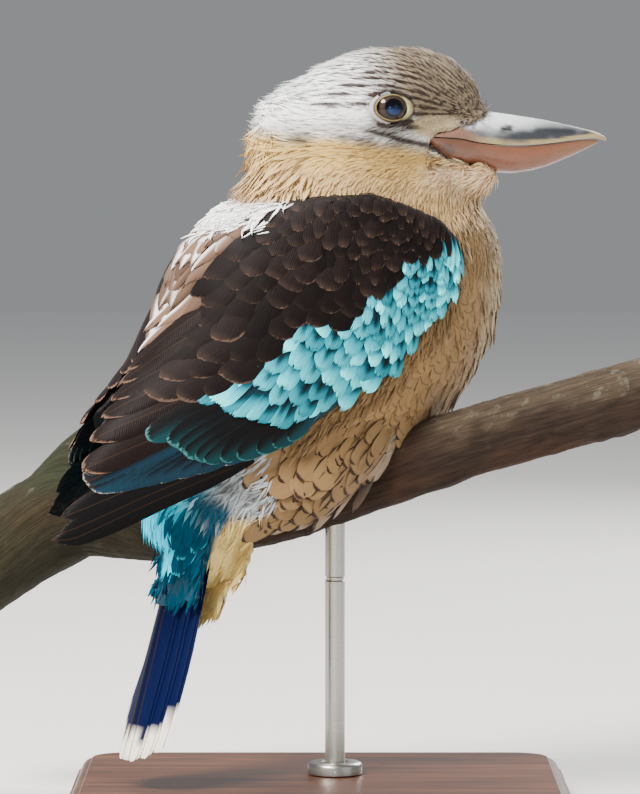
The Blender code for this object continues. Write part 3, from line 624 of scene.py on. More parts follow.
def prototype(outline: Outline, columns: int) -> bpy.types.Object:
    """A unit vane, from 0 to 1 along Y and -1 to 1 across X, with its side in Z.

    Args:
        outline: the vane's shape.
        columns: points across it.

    Returns:
        The object, which stays out of the picture.
    """
    rows = len(outline.value)
    faces, under, side = vane_grid(rows, columns)
    along = np.repeat([row[0] for row in outline.value], columns)
    widths = np.repeat([row[1] for row in outline.value], columns)
    spread = np.tile(np.linspace(-1, 1, columns), rows)
    along = along - 0.13 * spread**2 * (along > 0.5)
    grid = np.column_stack((spread * widths, along))
    obj = mesh_piece(f"{outline.name.lower()}_vane", np.column_stack((grid[under], side)), faces)
    sharpen_rim(obj.data, side == 0)
    return obj


class CoatTrees:
    """The Geometry Nodes trees that set feathers on a surface."""

    def __init__(self) -> None:
        """Builds both trees."""
        self.roots = self.roots_tree()
        self.coat = self.coat_tree()

    @staticmethod
    def roots_tree() -> bpy.types.NodeTree:
        """A tree that spreads feather roots evenly over a skin, denser where Region is high."""
        tree = bpy.data.node_groups.new("feather_roots", "GeometryNodeTree")
        add = partial(add_node, tree)
        for name, kind in (("Skin", "Geometry"), ("Spacing", "Float"), ("Seed", "Int")):
            tree.interface.new_socket(name=name, in_out="INPUT", socket_type=f"NodeSocket{kind}")
        tree.interface.new_socket(name="Roots", in_out="OUTPUT", socket_type="NodeSocketGeometry")
        given = add("NodeGroupInput")
        region = add("GeometryNodeInputNamedAttribute", {"Name": "Region"}, data_type="FLOAT")
        spread = add("GeometryNodeDistributePointsOnFaces", {"Mesh": given.outputs["Skin"],
                                                             "Distance Min": given.outputs["Spacing"],
                                                             "Density Max": 6.0e6,
                                                             "Density Factor": region.outputs["Attribute"],
                                                             "Seed": given.outputs["Seed"]},
                     distribute_method="POISSON")
        kept = add("GeometryNodeStoreNamedAttribute", {"Geometry": spread.outputs["Points"],
                                                       "Name": "Outward", "Value": spread.outputs["Normal"]},
                   data_type="FLOAT_VECTOR", domain="POINT")
        dots = add("GeometryNodePointsToVertices", {"Points": kept.outputs["Geometry"]})
        add("NodeGroupOutput", {"Roots": dots.outputs["Mesh"]})
        return tree

    @staticmethod
    def coat_tree() -> bpy.types.NodeTree:
        """A tree that grows one bent vane from each root, along the vectors stored there."""
        tree = bpy.data.node_groups.new("feather_coat", "GeometryNodeTree")
        add = partial(add_node, tree)
        for name, kind in (("Roots", "Geometry"), ("Vane", "Object"), ("Thickness", "Float"),
                           ("Ruffle", "Float"), ("Seed", "Int"), ("Finish", "Material")):
            tree.interface.new_socket(name=name, in_out="INPUT", socket_type=f"NodeSocket{kind}")
        tree.interface.new_socket(name="Coat", in_out="OUTPUT", socket_type="NodeSocketGeometry")
        given = add("NodeGroupInput")
        vane = add("GeometryNodeObjectInfo", {"Object": given.outputs["Vane"]})
        place = add("GeometryNodeInputPosition")
        vane = add("GeometryNodeStoreNamedAttribute", {"Geometry": vane.outputs["Geometry"], "Name": "Vane",
                                                       "Value": place}, data_type="FLOAT_VECTOR",
                   domain="POINT")
        chance = add("FunctionNodeRandomValue", {2: -1.0, 3: 1.0, "Seed": given.outputs["Seed"]},
                     data_type="FLOAT")
        roots = add("GeometryNodeStoreNamedAttribute", {"Geometry": given.outputs["Roots"], "Name": "Chance",
                                                        "Value": chance.outputs[1]}, data_type="FLOAT",
                    domain="POINT")
        copies = add("GeometryNodeInstanceOnPoints", {"Points": roots.outputs["Geometry"],
                                                      "Instance": vane.outputs["Geometry"]})
        coat = add("GeometryNodeRealizeInstances", {"Geometry": copies.outputs["Instances"]})
        named = {}
        for name in ("Vane", "Root", "Reach", "Spread", "Raise", "Sag", "Crown", "Outward"):
            named[name] = add("GeometryNodeInputNamedAttribute", {"Name": name},
                              data_type="FLOAT_VECTOR").outputs["Attribute"]
        chance = add("GeometryNodeInputNamedAttribute", {"Name": "Chance"}, data_type="FLOAT")
        parts = add("ShaderNodeSeparateXYZ", {0: named["Vane"]})
        aside, along, side = parts.outputs
        squared = add("ShaderNodeMath", {0: along, 1: along}, operation="MULTIPLY")
        ruffle = add("ShaderNodeMath", {0: chance.outputs["Attribute"], 1: given.outputs["Ruffle"], 2: 1.0},
                     operation="MULTIPLY_ADD")
        lifted = add("ShaderNodeMath", {0: along, 1: ruffle}, operation="MULTIPLY")
        arch = add("ShaderNodeMath", {0: aside, 1: aside}, operation="MULTIPLY")
        arch = add("ShaderNodeMath", {0: 1.0, 1: arch}, operation="SUBTRACT")
        thick = add("ShaderNodeMath", {0: side, 1: given.outputs["Thickness"]}, operation="MULTIPLY")
        total = named["Root"]
        for vector, amount in (("Reach", along), ("Spread", aside), ("Raise", lifted), ("Sag", squared),
                               ("Crown", arch), ("Outward", thick)):
            total = add("ShaderNodeVectorMath", {0: named[vector], 1: amount, 2: total},
                        operation="MULTIPLY_ADD")
        bent = add("GeometryNodeSetPosition", {"Geometry": coat.outputs["Geometry"], "Position": total})
        dressed = add("GeometryNodeSetMaterial", {"Geometry": bent.outputs["Geometry"],
                                                  "Material": given.outputs["Finish"]})
        add("NodeGroupOutput", {"Coat": dressed.outputs["Geometry"]})
        return tree

    @staticmethod
    def run(obj: bpy.types.Object, tree: bpy.types.NodeTree, **inputs) -> bpy.types.Mesh:
        """Runs a tree on an object.

        Args:
            obj: the object that the tree starts from.
            tree: the tree.
            inputs: its named inputs.

        Returns:
            The mesh that the tree makes.
        """
        modifier = obj.modifiers.new(tree.name, "NODES")
        modifier.node_group = tree
        for item in tree.interface.items_tree:
            if item.in_out == "INPUT" and item.name in inputs:
                modifier[item.identifier] = inputs[item.name]
        mesh = evaluated(obj)
        obj.modifiers.remove(modifier)
        return mesh


@dataclass
class Roots:
    """Feather roots on the skin, in the bird's frame, and what grows from each."""

    place: Array
    normal: Array
    patch: Array
    lie: Array
    length: Array
    half: Array
    chance: Array


@dataclass(frozen=True)
class CoatRegion:
    """One kind of body feather and how it grows. Sizes are in millimetres."""

    name: str
    spacing: float
    outline: Outline
    columns: int
    grows: Callable[[Array, Array], Array]
    length: Callable[[Array], Array]
    slim: float
    lift: float = 0.2
    droop: float = 0.08
    ruffle: float = 0.45
    stray: float = 0.12
    slot: str = "cream_coat"
    seed: int = 1
    painted: bool = False
    arch: float = 0.25


# Colours and lie of the body's feathers


class Shade(Enum):
    """The bird's colours, as sRGB hex codes."""

    CREAM = "#dbb76e"
    CHIN = "#fcdeb8"
    LORES = "#c8b48f"
    GREY_CHEEK = "#dad5d0"
    WHITE = "#ffffff"
    MEDIAL = "#725847"
    CROWN_BUFF = "#948369"
    STREAK = "#2f1b13"
    STREAK_GREY = "#3b3332"
    NECK = "#c2a16f"
    BREAST = "#a07e52"
    BREAST_PALE = "#b9a178"
    FLANK = "#836642"
    SCALLOP = "#2c1c12"
    VENT_GREY = "#a6acaf"
    OCHRE = "#ddc279"
    MANTLE = "#2f221c"
    AZURE = "#00deff"
    AZURE_COVERT = "#1e9fb4"
    # Pale ends of the azure coverts, partly a painted highlight
    AZURE_TIP = "#69f9ff"
    TEAL = "#0c2f3a"
    CHOCOLATE = "#160f0e"
    CHOCOLATE_EDGE = "#514037"
    QUILL_BLACK = "#0c0b0c"
    COVERT_EDGE = "#346c6c"
    RUMP_BLUE = "#003f55"
    STEEL_BLUE = "#142e3d"
    SEA_GREEN = "#0e3539"
    ROYAL = "#020b33"
    NAVY = "#010515"
    IVORY = "#f2ebdc"

    @property
    def rgb(self) -> Array:
        """The linear colour."""
        return linear(self.value)


class Markings:
    """Where each colour lies, and which way the feathers point. Skin and coat both ask here."""

    HEAD_CUT = ((73.0, 246.5), (-30.0, 262.0))
    LIE_PITCH = ((100, 30), (130, 34), (160, 42), (200, 60), (240, 76), (270, 82))
    FAN = np.array((53.0, 0.0, 279.0))
    CHIN_FRONT = np.array((80.0, 0.0, 262.0))
    TAIL_RUN = np.array((-0.27, 0.0, -0.963))

    def tract(self, place: Array) -> tuple[Array, Array]:
        """The head's feather tracts, which fan out from the bill's base.

        Args:
            place: rows in the head's frame.

        Returns:
            The angle round the head of each row's tract in radians, and its gradient's direction.
        """
        x, y, z = place.T
        behind = np.maximum(self.FAN[0] - x, 0)
        share = np.tanh((behind + 1) / 30)
        spread = 1.5 * share
        height = (z - self.FAN[2]) / spread
        steeper = (z - self.FAN[2]) * (behind > 0) * (1 - share**2) * 0.05 / spread**2
        around = np.arctan2(np.abs(y), height)
        return around, np.column_stack((-np.abs(y) * steeper, height * np.where(y < 0, -1, 1),
                                        -np.abs(y) / spread))

    def over_cut(self, place: Array) -> Array:
        """Height over the plane that parts the head from the neck."""
        (f0, z0), (f1, z1) = self.HEAD_CUT
        return place[:, 2] - (z0 + (place[:, 0] - f0) * (z1 - z0) / (f1 - f0))

    def lie(self, place: Array, normal: Array) -> Array:
        """The direction in which feathers point, along the surface.

        Args:
            place: rows in the bird's frame.
            normal: the surface's directions outwards.

        Returns:
            Unit rows across the normals.
        """
        pitch = np.radians(along_rows(self.LIE_PITCH, place[:, 2]))
        down = np.column_stack((-np.cos(pitch), 0 * pitch, -np.sin(pitch)))
        upper = smoothstep(263, 271, place[:, 2])
        back = unit(place - mixed(head_to_bird(self.CHIN_FRONT), head_to_bird(self.FAN), upper))
        along = np.cross(turned(normal, -HEAD_TURN), self.tract(bird_to_head(place))[1])
        along = unit(turned(along, HEAD_TURN))
        along = along * np.where(np.sum(along * back, axis=1) < 0, -1, 1)[:, None]
        back = unit(mixed(back, along, upper))
        under_tail = smoothstep(-40, -52, place[:, 0]) * smoothstep(136, 124, place[:, 2])
        down = mixed(down, self.TAIL_RUN, under_tail)
        head = smoothstep(-12, 8, self.over_cut(place))
        way = mixed(down, back, head)
        return unit(way - normal * np.sum(way * normal, axis=1, keepdims=True))

    def head(self, place: Array, chance: Array) -> Array:
        """Colours of the head at rows in the head's frame."""
        x, y, z = place.T
        s = np.abs(y)
        wander = 2.5 * noise(place, 9, 3)
        # Turns round the head's axis and distance from the bill's base, which the feathers follow
        turn = self.tract(place)[0] * 6.5 + 0.22 * noise(place, 12, 5)
        far = np.linalg.norm(place - self.FAN, axis=1)
        hairs = noise(np.column_stack((far / 7, turn * 2.6, 0 * far)), 1.0, 6)
        colour = mixed(Shade.CREAM.rgb, Shade.GREY_CHEEK.rgb, smoothstep(263, 269, z + wander + 0.12 * x))
        colour = mixed(colour, Shade.WHITE.rgb, smoothstep(271, 279, z + wander) * smoothstep(22, 8, x))
        colour = mixed(colour, Shade.CROWN_BUFF.rgb, smoothstep(279, 287, z + 9 * smoothstep(12, 30, x))
                       * smoothstep(-10, 22, x + wander))
        colour = mixed(colour, Shade.CHIN.rgb, smoothstep(262, 256, z) * smoothstep(16, 34, x) * 0.9)
        lores = smoothstep(1.25, 0.75, np.hypot((x - 30) / 11, (z - 274) / 4.6)) * (s > 4)
        colour = mixed(colour, Shade.LORES.rgb, lores)

        # The lanes of dark streaks break off here and there
        phase = np.modf(0.618 * np.abs(np.round(1.5 * turn + 0.5)))[0]
        dash = np.cos(2 * math.pi * (far / 13 + phase))
        lane = -np.cos(3 * math.pi * turn)
        bare = -0.25 + 0.6 * smoothstep(20, -16, x) + 0.7 * smoothstep(0.1, -0.95, dash)
        bare = bare + 0.9 * smoothstep(284, 277, z + 7 * smoothstep(2, 22, x)) + 1.5 * lores
        streak = smoothstep(bare - 0.16, bare + 0.16, lane + 0.2 * hairs)
        dark = mixed(Shade.STREAK_GREY.rgb, Shade.STREAK.rgb, smoothstep(-22, 8, x))
        fading = 1 - 0.75 * smoothstep(272, 278, z)
        grey = 0.55 * smoothstep(0.05, 0.5, hairs) * smoothstep(263, 268, z) * fading
        colour = mixed(colour, dark, np.maximum(0.95 * streak * (z > 272), grey * smoothstep(32, 24, x)))

        under_eye = smoothstep(1.15, 0.75, np.hypot((x - 9) / 12.5, (z - 273.8) / 3.4))
        ring = np.hypot((x - 10) / 1.28, z - 281)
        beside_eye = smoothstep(8.6, 7.4, ring) * smoothstep(-1, 4, x)
        line = z - 270.2 + 0.2 * (x - 8)
        gape = smoothstep(1.3, 0.5, np.abs(line + 0.4 * hairs)) * smoothstep(2, 9, x) * smoothstep(31, 27, x)
        lashes = smoothstep(-0.35, 0.15, noise(np.column_stack((far / 9, turn * 3.4, 0 * far)), 1.0, 7))
        shaded = np.clip(0.92 * under_eye * lashes + 0.85 * beside_eye + 0.9 * gape, 0, 0.92) * (s > 8)
        colour = mixed(colour, Shade.STREAK.rgb, shaded)
        ear = smoothstep(1.2, 0.5, np.hypot((x + 5) / 5, (z - 263.5) / 1.8)) * (hairs > 0.0)
        return mixed(colour, Shade.STREAK_GREY.rgb, 0.6 * ear * (s > 8))

    def body(self, place: Array) -> Array:
        """Colours of neck, trunk and rump at rows in the bird's frame."""
        f, l, z = place.T
        s = np.abs(l)
        wander = 4 * noise(place, 12, 8)
        colour = mixed(Shade.FLANK.rgb, Shade.BREAST.rgb, smoothstep(150, 185, z + wander))
        colour = mixed(colour, Shade.NECK.rgb, smoothstep(210, 246, z + wander))
        chest = 0.8 * smoothstep(52, 76, f + wander) * smoothstep(150, 175, z)
        colour = mixed(colour, Shade.BREAST_PALE.rgb, chest)
        marks = 0.7 * smoothstep(0.15, 0.6, noise(place * (1, 1, 2.0), 9, 14))
        fluff = mixed(Shade.VENT_GREY.rgb, Shade.STREAK_GREY.rgb, marks)
        colour = mixed(colour, fluff, self.vent(place))
        legs = smoothstep(9, 4, np.hypot(f - 22, z - 150) + wander)
        colour = mixed(colour, Shade.VENT_GREY.rgb, 0.5 * legs)
        under = (1 - self.over_tail(place)) * smoothstep(-42, -50, f - 16 * smoothstep(122, 114, z))
        under = under * smoothstep(134, 124, z)
        colour = mixed(colour, Shade.OCHRE.rgb, under * (1 - self.vent(place)))
        colour = mixed(colour, Shade.MANTLE.rgb, smoothstep(-20, -32, f) * smoothstep(160, 172, z)
                       * smoothstep(216, 204, z))
        down = smoothstep(-8, -18, f) * smoothstep(198, 208, z + wander) * smoothstep(246, 238, z)
        colour = mixed(colour, Shade.WHITE.rgb, 0.95 * down)
        blue = mixed(Shade.RUMP_BLUE.rgb, Shade.AZURE.rgb, smoothstep(104, 114,
                                                                      z - 24 * smoothstep(4, 13, s)))
        return mixed(colour, blue, self.rump(place))

    def over_tail(self, place: Array) -> Array:
        """1 on the upper side of the tail's plane, 0 below it."""
        return smoothstep(-7, -4, -0.963 * (place[:, 0] + 61.7) + 0.27 * (place[:, 2] - 116.8))

    def rump(self, place: Array) -> Array:
        """Share of the azure of rump and uppertail."""
        f, l, z = place.T
        front = f + 0.25 * np.abs(l) - 14 * smoothstep(132, 122, z)
        return smoothstep(-52, -64, front) * smoothstep(186, 174, z) * self.over_tail(place)

    def vent(self, place: Array) -> Array:
        """Share of the pale fluff between flank and tail."""
        f, l, z = place.T
        return smoothstep(19, 12, np.hypot(f + 50, z - 136) + 4 * noise(place, 12, 8)) * (np.abs(l) > 8)

    def tint(self, place: Array, chance: Array) -> Array:
        """Colours anywhere on the bird's skin.

        Args:
            place: rows in the bird's frame.
            chance: a number from 0 to 1 for each row, for what differs from feather to feather; not used.

        Returns:
            Rows of linear colours.
        """
        head = smoothstep(-7, 5, self.over_cut(place) + 3 * noise(place, 8, 4))
        return mixed(self.body(place), self.head(bird_to_head(place), chance), head)

    def bars(self, place: Array, chance: Array) -> Array:
        """Strength of the dark bar on each feather of neck and breast."""
        f, _, z = place.T
        breast = (smoothstep(238, 215, z) * smoothstep(150, 165, z) * smoothstep(80, 68, f)
                  * smoothstep(0, 14, f))
        flecks = 0.4 * smoothstep(262, 250, z) * smoothstep(215, 235, z)
        return 0.6 * breast * (chance > 0.55) + flecks * (chance > 0.84)

    def fringe(self, place: Array, chance: Array) -> Array:
        """Colour and width of each feather's fringe, which is dark on the flanks."""
        f, _, z = place.T
        flank = (smoothstep(176, 160, z) * smoothstep(44, 30, f) * smoothstep(-52, -44, f)
                 * smoothstep(114, 120, z))
        dark = 0.15 * flank * (chance > 0.15) * (self.vent(place) < 0.4)
        return np.column_stack((np.tile(Shade.SCALLOP.rgb, (len(place), 1)), dark))


class Body:
    """Skin of head, neck, trunk and rump as one surface, and the coat of small feathers on it."""

    FLESH = ("head", "neck", "torso", "rump", "uppertail_coverts", "undertail_coverts")
    EYES = ("eyelids_right", "eyelids_left", "eye_right", "eye_left")
    SOLID = ("bill_upper", "bill_lower", "eyelids_right", "eyelids_left", "foot_right", "foot_left", "perch",
             "tail")

    def __init__(self, markings: Markings, trees: CoatTrees, wing: "WingSurface") -> None:
        """Keeps what the coat needs.

        Args:
            markings: the colours.
            trees: the Geometry Nodes trees.
            wing: the right wing's surface, under which no feathers grow.
        """
        self.markings = markings
        self.trees = trees
        self.wing = wing
        self.solid = self.tree_of(*self.SOLID)
        self.perch = self.tree_of("perch")
        self.finish = Plumage("contour_feathers", barb_spacing=0.4, lengthwise=True, specular=0.2).material()
        self.azure = Plumage("rump_plumes", barb_spacing=0.4, lengthwise=True, specular=0.05,
                             sheen=0.0).material()

    @staticmethod
    def tree_of(*names: str) -> BVHTree:
        """A search tree over some of the frame's nodes."""
        points, faces = [], []
        for name in names:
            mesh = frame["nodes"][name].data
            start = len(points)
            points += [v.co[:] for v in mesh.vertices]
            faces += [tuple(start + i for i in p.vertices) for p in mesh.polygons]
        return BVHTree.FromPolygons(points, faces)

    def distances(self, points: Array) -> Array:
        """Distance in millimetres from points in metres to bill, lids, feet, perch and tail."""
        return np.array([self.solid.find_nearest(Vector(p))[3] for p in points]) / MM

    def in_perch(self, points: Array) -> Array:
        """Whether points in metres lie inside the perch or within 0.2 mm of it."""
        inside = []
        for p in points:
            hit, normal, _, _ = self.perch.find_nearest(Vector(p))
            inside.append((Vector(p) - hit).dot(normal) < 0.2 * MM)
        return np.array(inside)

    def build_skin(self, depth: float = 1.5) -> bpy.types.Object:
        """One skin inside the coat's surface.

        Args:
            depth: how far inside it lies, in millimetres, away from bill and lids.

        Returns:
            The skin, with its bake map and colours.
        """
        nodes = [frame["nodes"][name] for name in self.FLESH + self.EYES]
        skin = fused("body_skin", nodes, 1.3 * MM, soften=6)
        points, normals = points_of(skin.data), normals_of(skin.data)
        near = smoothstep(0.8, 5.0, self.distances(points))
        eyes = self.tree_of(*self.EYES)
        by_eye = np.array([eyes.find_nearest(Vector(p))[3] for p in points]) / MM
        x, y, z = bird_to_head(world_to_bird(points)).T
        gape = smoothstep(2.0, 0.0, np.maximum(np.abs(x - 39) - 10, np.abs(z - 263) - 4.5)) * (np.abs(y) > 6)
        sunk = 0.15 + (depth - 0.15) * near + 3.0 * gape + 1.4 * smoothstep(0.9, 0.3, by_eye)
        points = points - normals * sunk[:, None] * MM
        set_points(skin.data, points)
        bird = world_to_bird(points)
        tint = self.markings.tint(bird, np.full(len(bird), 0.5))
        give(skin.data, "Tint", tint)
        bpy.context.view_layer.objects.active = skin
        skin.select_set(True)
        bpy.ops.object.mode_set(mode="EDIT")
        bpy.ops.mesh.select_all(action="SELECT")
        bpy.ops.uv.smart_project(angle_limit=math.radians(66), island_margin=0.004)
        bpy.ops.object.mode_set(mode="OBJECT")
        skin.data.uv_layers[0].name = "OFBake"
        skin.data.materials.append(Skin().material())
        return skin

    def under_wing(self, place: Array) -> Array:
        """Whether roots in the bird's frame lie well under a folded wing."""
        along, rise = self.wing.flat(place)
        low, high = along_rows(WING_LOW, along), along_rows(WING_HIGH, along)
        inside = (rise > low + 3) & (rise < high - 2) & (along > 5) & (along < 196)
        return inside & (np.abs(place[:, 1]) > along_rows(WING_TOP, along) + 1)

    def eye_room(self, place: Array, lie: Array, length: Array) -> Array:
        """How much of each feather's length stays clear of the lids.

        Args:
            place: roots in the bird's frame.
            lie: the directions in which the feathers point.
            length: their lengths.

        Returns:
            Shares from 0 to 1.
        """
        spots, way = bird_to_head(place), turned(lie, -HEAD_TURN)
        share = np.ones(len(place))
        for part in (1.0, 0.8, 0.6, 0.4, 0.2):
            x, y, z = (spots + way * (length * part)[:, None]).T
            over = (np.hypot((x - 10.9) / 1.28, z - 281) < 6.1) & (np.abs(y) > 8)
            share = np.where(over, part - 0.15, share)
        return share

    def by_wing(self, bird: Array) -> Array:
        """Where neck and breast meet the front and upper edges of the folded wings."""
        along, rise = self.wing.flat(bird)
        low, high = along_rows(WING_LOW, along), along_rows(WING_HIGH, along)
        over = smoothstep(-2, 0, rise - high) * smoothstep(7, 4, rise - high) * smoothstep(44, 34, along)
        front = smoothstep(-9, -6, along) * smoothstep(5, 2, along) * smoothstep(-6, 0, rise - low)
        below = smoothstep(2, -1, rise - low) * smoothstep(-8, -5, rise - low) * smoothstep(105, 95, along)
        edge = np.maximum(np.maximum(over, front * (rise < high + 3)), below * (along > 0) * (rise < 0))
        return edge * (1 - self.head_share(bird)) * (np.abs(bird[:, 1]) > 12)

    def find_roots(self, skin: bpy.types.Object, region: CoatRegion) -> Roots:
        """Spreads a region's roots over the skin.

        Args:
            skin: the skin.
            region: the kind of feather.

        Returns:
            The roots that neither wing, bill, lids nor perch cover.
        """
        bird = world_to_bird(points_of(skin.data))
        weight = skin.data.attributes.new("Region", "FLOAT", "POINT")
        weight.data.foreach_set("value", np.ascontiguousarray(region.grows(bird), np.float32))
        mesh = self.trees.run(skin, self.trees.roots, Spacing=region.spacing * MM, Seed=region.seed)
        skin.data.attributes.remove(skin.data.attributes["Region"])
        world = points_of(mesh)
        count = len(world)
        normal, patch = np.empty(count * 3), np.empty(count * 2)
        mesh.attributes["Outward"].data.foreach_get("vector", normal)
        mesh.attributes["OFBake"].data.foreach_get("vector", patch)
        bpy.data.meshes.remove(mesh)
        normal = unit(turned(normal.reshape(-1, 3), -BODY_YAW))
        place = world_to_bird(world)
        chance = np.random.default_rng(region.seed).random(count)
        lie = self.markings.lie(place, normal)
        side = np.cross(normal, lie)
        stray = np.random.default_rng(region.seed + 50).normal(0, region.stray, count)
        lie = unit(lie + side * stray[:, None])
        length = region.length(place) * (0.8 + 0.4 * chance)
        share = self.eye_room(place, lie, length)
        length = length * share
        tips = bird_to_world(place + lie * length[:, None] + normal * 0.6)
        keep = (self.distances(world) > 0.7) & ~self.in_perch(tips) & (share > 0.1) & ~self.under_wing(place)
        return Roots(place[keep], normal[keep], patch.reshape(-1, 2)[keep], lie[keep], length[keep],
                     (region.slim * length)[keep], chance[keep])

    def grow(self, skin: bpy.types.Object, region: CoatRegion) -> bpy.types.Object:
        """Grows one region's feathers.

        Args:
            skin: the skin.
            region: the kind of feather.

        Returns:
            The coat piece.
        """
        roots = self.find_roots(skin, region)
        vane = prototype(region.outline, region.columns)
        shape = points_of(vane.data)
        seeds = mesh_piece(region.name + "_roots", bird_to_world(roots.place), [])
        length, half = roots.length[:, None] * MM, roots.half[:, None] * MM
        out = turned(roots.normal, BODY_YAW)
        lie = turned(roots.lie, BODY_YAW)
        side = np.cross(lie, out)
        sway = np.random.default_rng(region.seed + 9).normal(0, 0.08, (len(length), 1))
        for name, values in (
            ("Root", bird_to_world(roots.place) - out * 0.3 * MM),
            ("Reach", lie * length),
            ("Spread", side * half),
            ("Raise", out * length * region.lift),
            ("Sag", side * sway * length - out * region.droop * length),
            ("Crown", out * half * region.arch),
            ("Outward", out),
        ):
            give(seeds.data, name, values)
        mesh = self.trees.run(seeds, self.trees.coat, Vane=vane, Thickness=0.05 * MM, Ruffle=region.ruffle,
                              Seed=region.seed,
                              Finish=self.azure if region.slot == "azure_feather" else self.finish)
        for obj in (seeds, vane):
            bpy.data.objects.remove(obj, do_unlink=True)
        for name in ("Root", "Reach", "Spread", "Raise", "Sag", "Crown", "Outward", "Chance", "Vane"):
            if name in mesh.attributes:
                mesh.attributes.remove(mesh.attributes[name])
        self.colour(mesh, roots, shape, region.painted)
        piece = placed(region.name, mesh)
        return hand_over(piece, region.slot)

    def colour(self, mesh: bpy.types.Mesh, roots: Roots, shape: Array, painted: bool) -> None:
        """Stores each feather's colours, its own coordinates and its patch of the bake map.

        Args:
            mesh: the coat's mesh, one copy of the vane for each root in order.
            roots: the roots.
            shape: the unit vane's points.
            painted: whether the markings run across the feathers, not one colour to a feather.
        """
        count, size = len(roots.place), len(shape)
        # Each feather's colour differs at random, by up to nine percent either way.
        tone = 0.91 + 0.18 * np.random.default_rng(3).random(count)
        if painted:
            spots = world_to_bird(points_of(mesh))
            tint = self.markings.tint(spots, np.repeat(roots.chance, size)) * np.repeat(tone, size)[:, None]
        else:
            tint = np.repeat(self.markings.tint(roots.place, roots.chance) * tone[:, None], size, axis=0)
        bars = self.markings.bars(roots.place, roots.chance)
        rim = self.markings.fringe(roots.place, roots.chance)
        give(mesh, "Tint", np.column_stack((tint, np.repeat(bars, size))))
        give(mesh, "Rim", np.repeat(rim, size, axis=0))
        unit_vane = np.tile(shape, (count, 1))
        chance = np.repeat(roots.chance, size)
        give(mesh, "Vane", np.column_stack((unit_vane[:, 0], unit_vane[:, 1], chance)))
        length, half = np.repeat(roots.length, size), np.repeat(roots.half, size)
        give(mesh, "Span", np.column_stack((unit_vane[:, 0] * half, unit_vane[:, 1] * length, length)))
        offset = np.column_stack((unit_vane[:, 0] * 0.25, unit_vane[:, 1] - 0.5)) * PATCH
        give_uv(mesh, np.repeat(roots.patch, size, axis=0) + offset)

    def head_share(self, bird: Array) -> Array:
        """How far a place belongs to the head."""
        return smoothstep(-3, 3, self.markings.over_cut(bird))

    def regions(self) -> list[CoatRegion]:
        """The kinds of body feather, from the bill to the tail."""

        def in_head(test: Callable[[Array, Array, Array], Array]) -> Callable[[Array], Array]:
            """Where feathers grow on the head, from a test of x, the distance from the middle and z there."""
            def grows(bird: Array) -> Array:
                """The share at places in the bird's frame."""
                x, y, z = bird_to_head(bird).T
                return self.head_share(bird) * test(x, np.abs(y), z)
            return grows

        def in_body(test: Callable[[Array, Array, Array], Array],
                    spare: Callable[[Array], Array] | None = None) -> Callable[[Array], Array]:
            """Where feathers grow on the body, from a test of the same and a place to spare."""
            def grows(bird: Array) -> Array:
                """The share at places in the bird's frame."""
                f, l, z = bird.T
                free = 1 - smoothstep(0.02, 0.1, spare(bird)) if spare else 1.0
                return (1 - self.head_share(bird)) * test(f, np.abs(l), z) * free
            return grows

        def ahead(bird: Array) -> Array:
            """Distance ahead in the head's frame."""
            return bird_to_head(bird)[:, 0]

